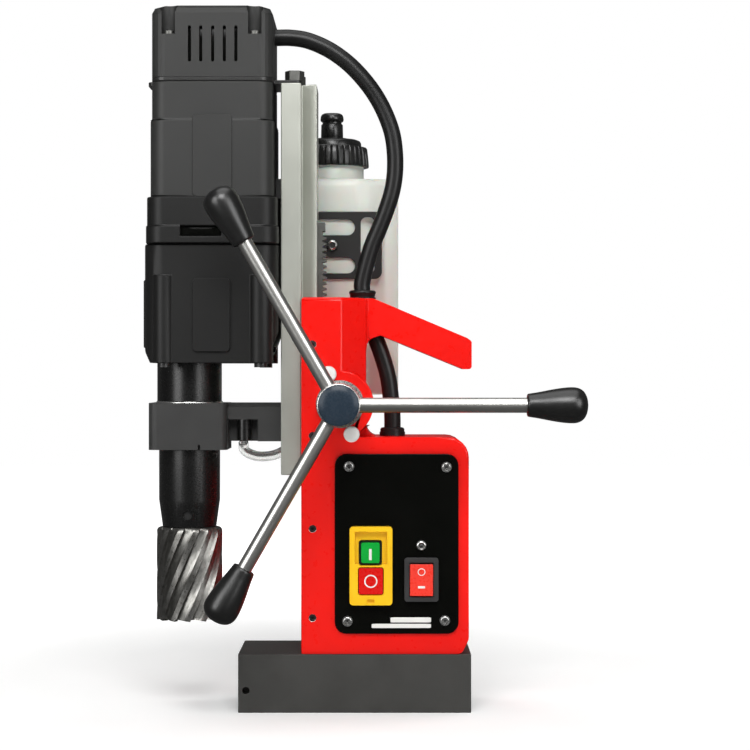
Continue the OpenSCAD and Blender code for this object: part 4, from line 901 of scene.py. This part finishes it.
@dataclass
class Spindle:
    """The spindle nose with the annular cutter and its pilot pin."""

    shop: Workshop
    flutes: int = 13
    helix_deg: float = 24.0
    gullet: float = 2.6 * MM
    tooth: float = 1.6 * MM
    wall: float = 4.5 * MM
    body: float = 65.0 * MM
    shank: float = 9.5 * MM
    bore: float = 4.1 * MM
    corner: float = 3.0 * MM
    # Depth past which the cutter's faces take the darker steel of painted shade.
    shade_below: float = 1.0 * MM

    def build(self) -> None:
        """Makes the nose and the cutter, and dresses the rest."""
        self.shop.dress(BRIGHT, "spindle_gear", "pilot_pin")
        self.shop.dress(BLACK_OXIDE, "grub_screws")
        self.shop.soften(SPINDLE_BLACK, "spindle", 0.8 * MM, 12.0)
        self._cutter()

    def _cutter(self) -> None:
        """Makes the cutter as one closed shell.

        Its outline runs from the shank over the shoulder, down the outside, round the toothed rim and up the
        inside. Its columns follow the helix, with the angle t + z * tan(helix) / radius. Outside, the radius is
        reduced by a gullet along the columns, which is steep at its cutting edge and runs out to the land over
        0.62 of a pitch. The rim is stepped into teeth. Faces deeper than the set depth take a darker steel, which
        is painted shade in the gullets.
        """
        low, high = self.shop.corners("cutter")
        middle = (low + high) / 2
        outer = (high[0] - low[0]) / 2
        inner = outer - self.wall
        body, shank, bore, corner = self.body, self.shank, self.bore, self.corner
        arc = np.linspace(0.0, math.pi / 2, 6)
        down = np.linspace(body - corner, 0.0, 44)
        radius = np.concatenate([[bore, shank, shank], outer - corner + corner * np.sin(arc), np.full(44, outer),
                                 [outer - 1.5 * MM, inner + 1.2 * MM, inner], np.full(6, inner), [bore + 2 * MM, bore]])
        height = np.concatenate([[body + 30 * MM, body + 30 * MM, body], body - corner + corner * np.cos(arc), down,
                                 [0.0, 0.0, 0.0], np.linspace(1 * MM, body - 10 * MM, 6),
                                 [body - 10 * MM, body - 10 * MM]])
        cut = np.concatenate([np.zeros(3), np.linspace(0.0, 1.0, 6), np.ones(44), np.zeros(11)])
        rim = np.zeros(len(radius))
        rim[52:56] = 1.0
        count = self.flutes * 22
        turn = np.linspace(0.0, 2.0 * math.pi, count, endpoint=False)
        lead = math.tan(math.radians(self.helix_deg)) / outer
        spin = turn[None, :] + height[:, None] * lead
        phase = (turn[None, :] * self.flutes / (2 * math.pi)) % 1.0
        scoop = np.clip(1.0 - phase / 0.62, 0.0, 1.0) ** 0.7 * np.clip(phase / 0.06, 0.0, 1.0)
        grid_radius = radius[:, None] - cut[:, None] * self.gullet * scoop
        step = self.tooth * np.clip(1.0 - phase, 0.0, 1.0)
        grid_height = height[:, None] + rim[:, None] * step
        grid = np.stack([middle[0] + grid_radius * np.cos(spin), middle[1] + grid_radius * np.sin(spin),
                         low[2] + grid_height], -1)
        cutter = lattice_mesh("annular_cutter", grid, wrap_rows=True, wrap_cols=True, crease_deg=34.0)
        self.shop.join(cutter, CUTTER_STEEL, "cutter")
        cutter.data.materials.append(FLUTE_SHADE_STEEL.material())
        centres = np.empty(len(cutter.data.polygons) * 3)
        cutter.data.polygons.foreach_get("center", centres)
        depth = outer - np.linalg.norm(centres.reshape(-1, 3)[:, :2] - middle[:2], axis=1)
        # Faces deep in the gullets take the darker steel as painted shade.
        cutter.data.polygons.foreach_set("material_index", (depth > self.shade_below).astype(np.int32))


@dataclass
class CoolantBottle:
    """The translucent bottle with its cap, spout and bracket."""

    shop: Workshop
    corner: float = 12.0 * MM
    setback: float = 5.0 * MM
    neck_radius: float = 23.4 * MM
    corner_steps: int = 14
    ribs: int = 36

    def build(self) -> None:
        """Makes the bottle and its ribbed cap, and dresses the bracket."""
        self.shop.soften(SHEET_BLACK, "tank_bracket", 0.5 * MM)
        self._bottle()
        self._cap()
        self._spout()

    def _bottle(self) -> None:
        """Makes the bottle as a stack of rounded rectangles that shrink over the shoulder and open to the neck.

        Each ring is a rectangle of half-sides a and b whose corners are quarter circles of radius c. Beside the
        neck, its front is set back by a smooth step of the distance from the neck's axis. The neck's rings have
        a = b = c, which is a circle about that axis.
        """
        low, high = self.shop.corners("coolant_tank")
        cap_low, cap_high = self.shop.corners("tank_cap")
        neck = (cap_low + cap_high) / 2
        neck_r, steps = self.neck_radius, self.corner_steps
        body_low = np.array([low[0], low[1], low[2] + 4.3 * MM])
        top = cap_low[2] - 10.3 * MM
        middle = (body_low[:2] + high[:2]) / 2
        half = (high[:2] - body_low[:2]) / 2
        foot = body_low[2]
        rings = [(0.0, foot), (0.55, foot), (0.93, foot + 0.4 * MM), (0.985, foot + 2 * MM), (1.0, foot + 5 * MM),
                 (1.0, top - 12 * MM), (0.997, top - 6 * MM), (0.975, top - 2.4 * MM),
                 (0.93, top - 0.5 * MM), (0.86, top)]
        flats = np.linspace(0.0, 1.0, steps)[1:-1]
        arcs = [np.linspace(quarter, quarter + math.pi / 2, steps) for quarter in np.arange(4) * math.pi / 2]
        turn = np.concatenate([np.concatenate([arc, np.full(len(flats), arc[-1])]) for arc in arcs])
        blend = np.concatenate([np.concatenate([np.zeros(steps), flats]) for _ in arcs])
        spoke = np.stack([np.cos(turn), np.sin(turn)], -1)
        quadrant = np.repeat(np.arange(4), steps + len(flats))
        signs = np.array([[1, 1], [-1, 1], [-1, -1], [1, -1]], float)
        sign = signs[quadrant] * (1 - blend[:, None]) + signs[(quadrant + 1) % 4] * blend[:, None]
        rows = []
        for scale, z in rings:
            flat = middle + sign * np.maximum(half * scale - self.corner * scale, 0) + spoke * self.corner * scale
            away = np.clip((np.abs(flat[:, 0] - neck[0]) / neck_r - 0.82) / 0.3, 0.0, 1.0)
            facing = np.clip((middle[1] - flat[:, 1]) / half[1] * 1.6 - 0.5, 0.0, 1.0)
            flat[:, 1] += self.setback * scale * facing * away**2 * (3 - 2 * away)
            rows.append(np.column_stack([flat, np.full(len(turn), z)]))
        share = np.linspace(0, 1, steps + len(flats), endpoint=False)
        round_turn = (quadrant + np.tile(share, 4)) * math.pi / 2
        spoke = np.stack([np.cos(round_turn), np.sin(round_turn)], -1)
        for radius, z in ((neck_r + 1.2 * MM, top), (neck_r, top + 1.2 * MM), (neck_r, top + 20 * MM),
                          (neck_r - 2 * MM, top + 20 * MM), (neck_r - 2 * MM, top + 12 * MM)):
            rows.append(np.column_stack([neck[:2] + spoke * radius, np.full(len(turn), z)]))
        rows.append(np.column_stack([np.broadcast_to(neck[:2], spoke.shape), np.full(len(turn), top + 12 * MM)]))
        bottle = lattice_mesh("coolant_bottle", np.stack(rows), wrap_cols=True, crease_deg=60.0)
        self.shop.join(bottle, BOTTLE, "coolant_tank")

    def _cap(self) -> None:
        """Makes the cap: flat ribs between narrow grooves 1 mm deep, under a stepped dome."""
        low, high = self.shop.corners("tank_cap")
        middle = (low + high) / 2
        skirt = (high[0] - low[0]) / 2
        base = low[2]
        outline = [(skirt - 3.7 * MM, 0.0, 0), (skirt - 0.3 * MM, 0.0, 1), (skirt, 0.8 * MM, 1),
                   (skirt - 0.2 * MM, 4 * MM, 1), (skirt - 0.7 * MM, 9 * MM, 1), (skirt - 1.2 * MM, 13.4 * MM, 1), (skirt - 1.9 * MM, 14.4 * MM, 0),
                   (skirt - 3.6 * MM, 14.8 * MM, 0), (22.2 * MM, 14.9 * MM, 0), (21.7 * MM, 15.4 * MM, 0),
                   (21.4 * MM, 18.0 * MM, 0), (20.6 * MM, 19.3 * MM, 0), (18.4 * MM, 20.2 * MM, 0),
                   (14.2 * MM, 20.8 * MM, 0), (11.4 * MM, 21.4 * MM, 0), (4.0 * MM, 21.4 * MM, 0),
                   (4.0 * MM, 30.0 * MM, 0),
                   (1.5 * MM, 30.0 * MM, 0), (1.5 * MM, 16.0 * MM, 0), (skirt - 3.7 * MM, 11.0 * MM, 0)]
        table = np.array(outline)
        turn = np.linspace(0.0, 2.0 * math.pi, self.ribs * 10, endpoint=False)
        groove = 1.1 * MM * np.clip(np.cos(self.ribs * turn) * 2.4 - 1.5, 0.0, 1.0)
        radius = table[:, 0, None] - table[:, 2, None] * groove
        height = np.broadcast_to(table[:, 1, None], radius.shape)
        grid = np.stack([middle[0] + radius * np.cos(turn), middle[1] + radius * np.sin(turn), base + height], -1)
        cap = lattice_mesh("bottle_cap", grid, wrap_rows=True, wrap_cols=True, crease_deg=34.0)
        self.shop.join(cap, CAP_BLACK, "tank_cap")

    def _spout(self) -> None:
        """Makes the pull spout: a wide neck, a narrow groove and a rounded knob, with a small outlet."""
        low, high = self.shop.corners("tank_spout")
        middle = (low + high) / 2
        wide = (high[0] - low[0]) / 2
        tall = high[2] - low[2]
        neck = wide - 0.4 * MM
        outline = [(4.05 * MM, 0), (neck - 0.2 * MM, 0), (neck, 0.4 * MM), (neck - 0.2 * MM, 9.8 * MM),
                   (neck - 0.6 * MM, 10.5 * MM), (neck - 1.2 * MM, 10.8 * MM), (neck - 1.2 * MM, 11.8 * MM),
                   (neck - 0.4 * MM, 12.3 * MM), (wide - 0.1 * MM, 13.1 * MM), (wide, 14.2 * MM),
                   (wide - 0.3 * MM, 16.2 * MM), (wide - 1.0 * MM, 17.6 * MM), (wide - 2.4 * MM, tall - 0.1 * MM),
                   (wide - 4.0 * MM, tall), (2.2 * MM, tall), (1.5 * MM, tall - 0.6 * MM), (1.5 * MM, 9.4 * MM),
                   (4.05 * MM, 9.4 * MM)]
        spout = revolve("bottle_spout", outline, (middle[0], middle[1], low[2]), (0, 0, 1), 64, ring=True)
        self.shop.join(spout, CAP_BLACK, "tank_spout")


@dataclass
class Lines:
    """The cable conduit and the coolant hose, along the same routes as their solids."""

    shop: Workshop
    conduit_radius: float = 5.8 * MM
    hose_radius: float = 3.5 * MM
    hose_wall: float = 0.9 * MM
    bend_start: Point = (50 * MM, 0.0, 419 * MM)
    lower_route: tuple[Point, ...] = ((26.2, 0, 186), (26.2, 0, 203), (25, 0, 217), (23, 0, 231), (19, 0, 245),
                                      (14, 0, 259), (9, 0, 273), (6, 0, 280), (5, 0, 285), (5, 0, 291))
    upper_route: tuple[Point, ...] = ((5, 0, 291), (5, 0, 297), (8, 0, 310), (12, 0, 323), (17, 0, 335), (22, 0, 348),
                                      (26, 0, 361), (28, 0, 374), (28, 0, 388), (26, 0, 402), (21, 0, 416),
                                      (14, 0, 429), (5, 0, 441), (-6, 0, 452), (-19, 0, 461), (-33, 0, 467),
                                      (-45, 0, 469), (-56.3, 0, 469))
    hose_route: tuple[Point, ...] = ((-79, 6, 184), (-78, 10, 178), (-70, 18, 174), (-60, 28, 174), (-52, 38, 177),
                                     (-43, 47, 183), (-33, 56, 192), (-24, 66, 200), (-18, 75, 206), (-18, 75, 213))

    def build(self) -> None:
        """Sweeps the three tubes."""
        lower = smooth_path(np.array(self.lower_route) * MM)
        self.shop.join(sweep("cable_conduit_lower", lower, self.conduit_radius), RUBBER, "conduit_lower")
        self._loop()
        hose = smooth_path(np.array(self.hose_route) * MM)
        tube = sweep("coolant_hose_tube", hose, self.hose_radius, bore=self.hose_radius - self.hose_wall)
        self.shop.join(tube, CLEAR_HOSE, "coolant_hose")

    def _loop(self) -> None:
        """Sweeps the conduit's loop, which curves between the frame and the carriage, and hides the CAD loop.

        The loop keeps its rest shape and joins no body, so it does not bend when the carriage moves.
        """
        path = smooth_path(np.array(self.upper_route) * MM)
        loop = sweep("cable_conduit_loop", path, self.conduit_radius)
        loop.data.materials.append(RUBBER.material())
        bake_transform(loop)
        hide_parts("conduit_upper")
        LOG.info("piece %s bends between frame and carriage", loop.name)


@dataclass
class Studio:
    """The pale sweep, the soft lights and the camera."""

    distance: float = 1.54
    eye: tuple[float, float] = (0.014, 0.2317)
    lens: float = 105.0
    focus_height: float = 0.24
    floor_reach: float = 4.0
    surround: float = 0.1

    def build(self) -> None:
        """Sets up floor, lights, surroundings and camera."""
        bpy.context.scene.view_settings.view_transform = "Standard"
        self._floor()
        self._light("softbox_left", (-1.12, -1.32, 0.66), (0.8, 1.1), 15.0, shading=False)
        self._light("softbox_right", (1.12, -1.32, 0.66), (0.8, 1.1), 14.0, shading=False)
        self._light("key", (0.0, -1.55, 1.45), (1.1, 0.8), 30.0)
        self._light("overhead", (0.0, -0.2, 2.3), (2.0, 2.0), 24.0)
        self._light("rear_left", (-1.5, 1.5, 1.1), (1.4, 1.4), 12.0, mirrored=False)
        self._light("rear_right", (1.5, 1.5, 1.1), (1.4, 1.4), 12.0, mirrored=False)
        self._surroundings()
        camera = bpy.data.objects.new("camera", bpy.data.cameras.new("camera"))
        camera.data.lens = self.lens
        camera.data.sensor_width = 36.0
        camera.data.clip_end = 50.0
        camera.location = (self.eye[0], -self.distance, self.eye[1])
        camera.rotation_euler = (math.pi / 2, 0.0, 0.0)
        bpy.context.scene.collection.objects.link(camera)
        bpy.context.scene.camera = camera
        LOG.info("studio ready")

    def _surroundings(self) -> None:
        """Sets the backdrop: white where it is seen directly, and a dim grey in light and reflections."""
        world = bpy.context.scene.world or bpy.data.worlds.new("studio")
        bpy.context.scene.world = world
        world.use_nodes = True
        tree = world.node_tree
        backdrop = tree.nodes["Background"]
        backdrop.inputs["Color"].default_value = WHITE
        seen = tree.nodes.new("ShaderNodeLightPath")
        level = tree.nodes.new("ShaderNodeMapRange")
        level.inputs["To Min"].default_value = self.surround
        level.inputs["To Max"].default_value = 1.0
        tree.links.new(seen.outputs["Is Camera Ray"], level.inputs["Value"])
        tree.links.new(level.outputs["Result"], backdrop.inputs["Strength"])

    def _floor(self) -> None:
        """Makes the floor, one large quad left out of reflections, which brightens to white outwards.

        The brightening is the floor's own light: 0.15 up to 0.3 m from the middle and 0.9 from 1 m on.
        """
        mesh = bpy.data.meshes.new("studio_floor")
        reach = self.floor_reach
        corners = [(-reach, -reach, 0.0), (reach, -reach, 0.0), (reach, reach, 0.0), (-reach, reach, 0.0)]
        mesh.from_pydata(corners, [], [(0, 1, 2, 3)])
        material = FLOOR.material()
        tree = material.node_tree
        shader = tree.nodes["Principled BSDF"]
        shader.inputs["Emission Color"].default_value = WHITE
        away = tree.nodes.new("ShaderNodeVectorMath")
        away.operation = "LENGTH"
        tree.links.new(tree.nodes.new("ShaderNodeTexCoord").outputs["Object"], away.inputs[0])
        glow = tree.nodes.new("ShaderNodeMapRange")
        glow.interpolation_type = "SMOOTHSTEP"
        for socket, number in (("From Min", 0.3), ("From Max", 1.0), ("To Min", 0.15), ("To Max", 0.9)):
            glow.inputs[socket].default_value = number
        tree.links.new(away.outputs["Value"], glow.inputs["Value"])
        tree.links.new(glow.outputs["Result"], shader.inputs["Emission Strength"])
        mesh.materials.append(material)
        floor = bpy.data.objects.new("studio_floor", mesh)
        bpy.context.scene.collection.objects.link(floor)
        floor.visible_glossy = False

    def _light(self, name: str, place: Point, size: tuple[float, float], power: float,
               mirrored: bool = True, shading: bool = True) -> None:
        """Adds a soft light that faces the middle of the machine.

        Args:
            name: The light's name.
            place: Its middle.
            size: Its width and height in metres.
            power: Its power in watts.
            mirrored: Whether it's seen in reflections.
            shading: Whether it lights matt surfaces.
        """
        lamp = bpy.data.lights.new(name, "AREA")
        lamp.shape = "RECTANGLE"
        lamp.size, lamp.size_y = size
        lamp.energy = power
        light = bpy.data.objects.new(name, lamp)
        matrix = np.eye(4)
        matrix[:3, :3] = np.column_stack(axes_about(np.array(place) - (0.0, 0.0, self.focus_height)))
        matrix[:3, 3] = place
        light.matrix_world = matrix.T.tolist()  # nested lists are read column by column
        light.visible_glossy = mirrored
        light.visible_diffuse = shading
        bpy.context.scene.collection.objects.link(light)


def main() -> None:
    """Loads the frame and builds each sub-assembly in order."""
    logging.basicConfig(level=logging.INFO, format="%(name)s: %(message)s")
    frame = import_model()
    Studio().build()
    shop = Workshop(frame)
    assemblies = (Lines, MagnetBase, Column, ControlPanel, FeedHub, Carriage, DrillUnit, Spindle, CoolantBottle)
    for assembly in assemblies:
        assembly(shop).build()
    bpy.context.view_layer.update()


if __name__ == "__main__":
    main()
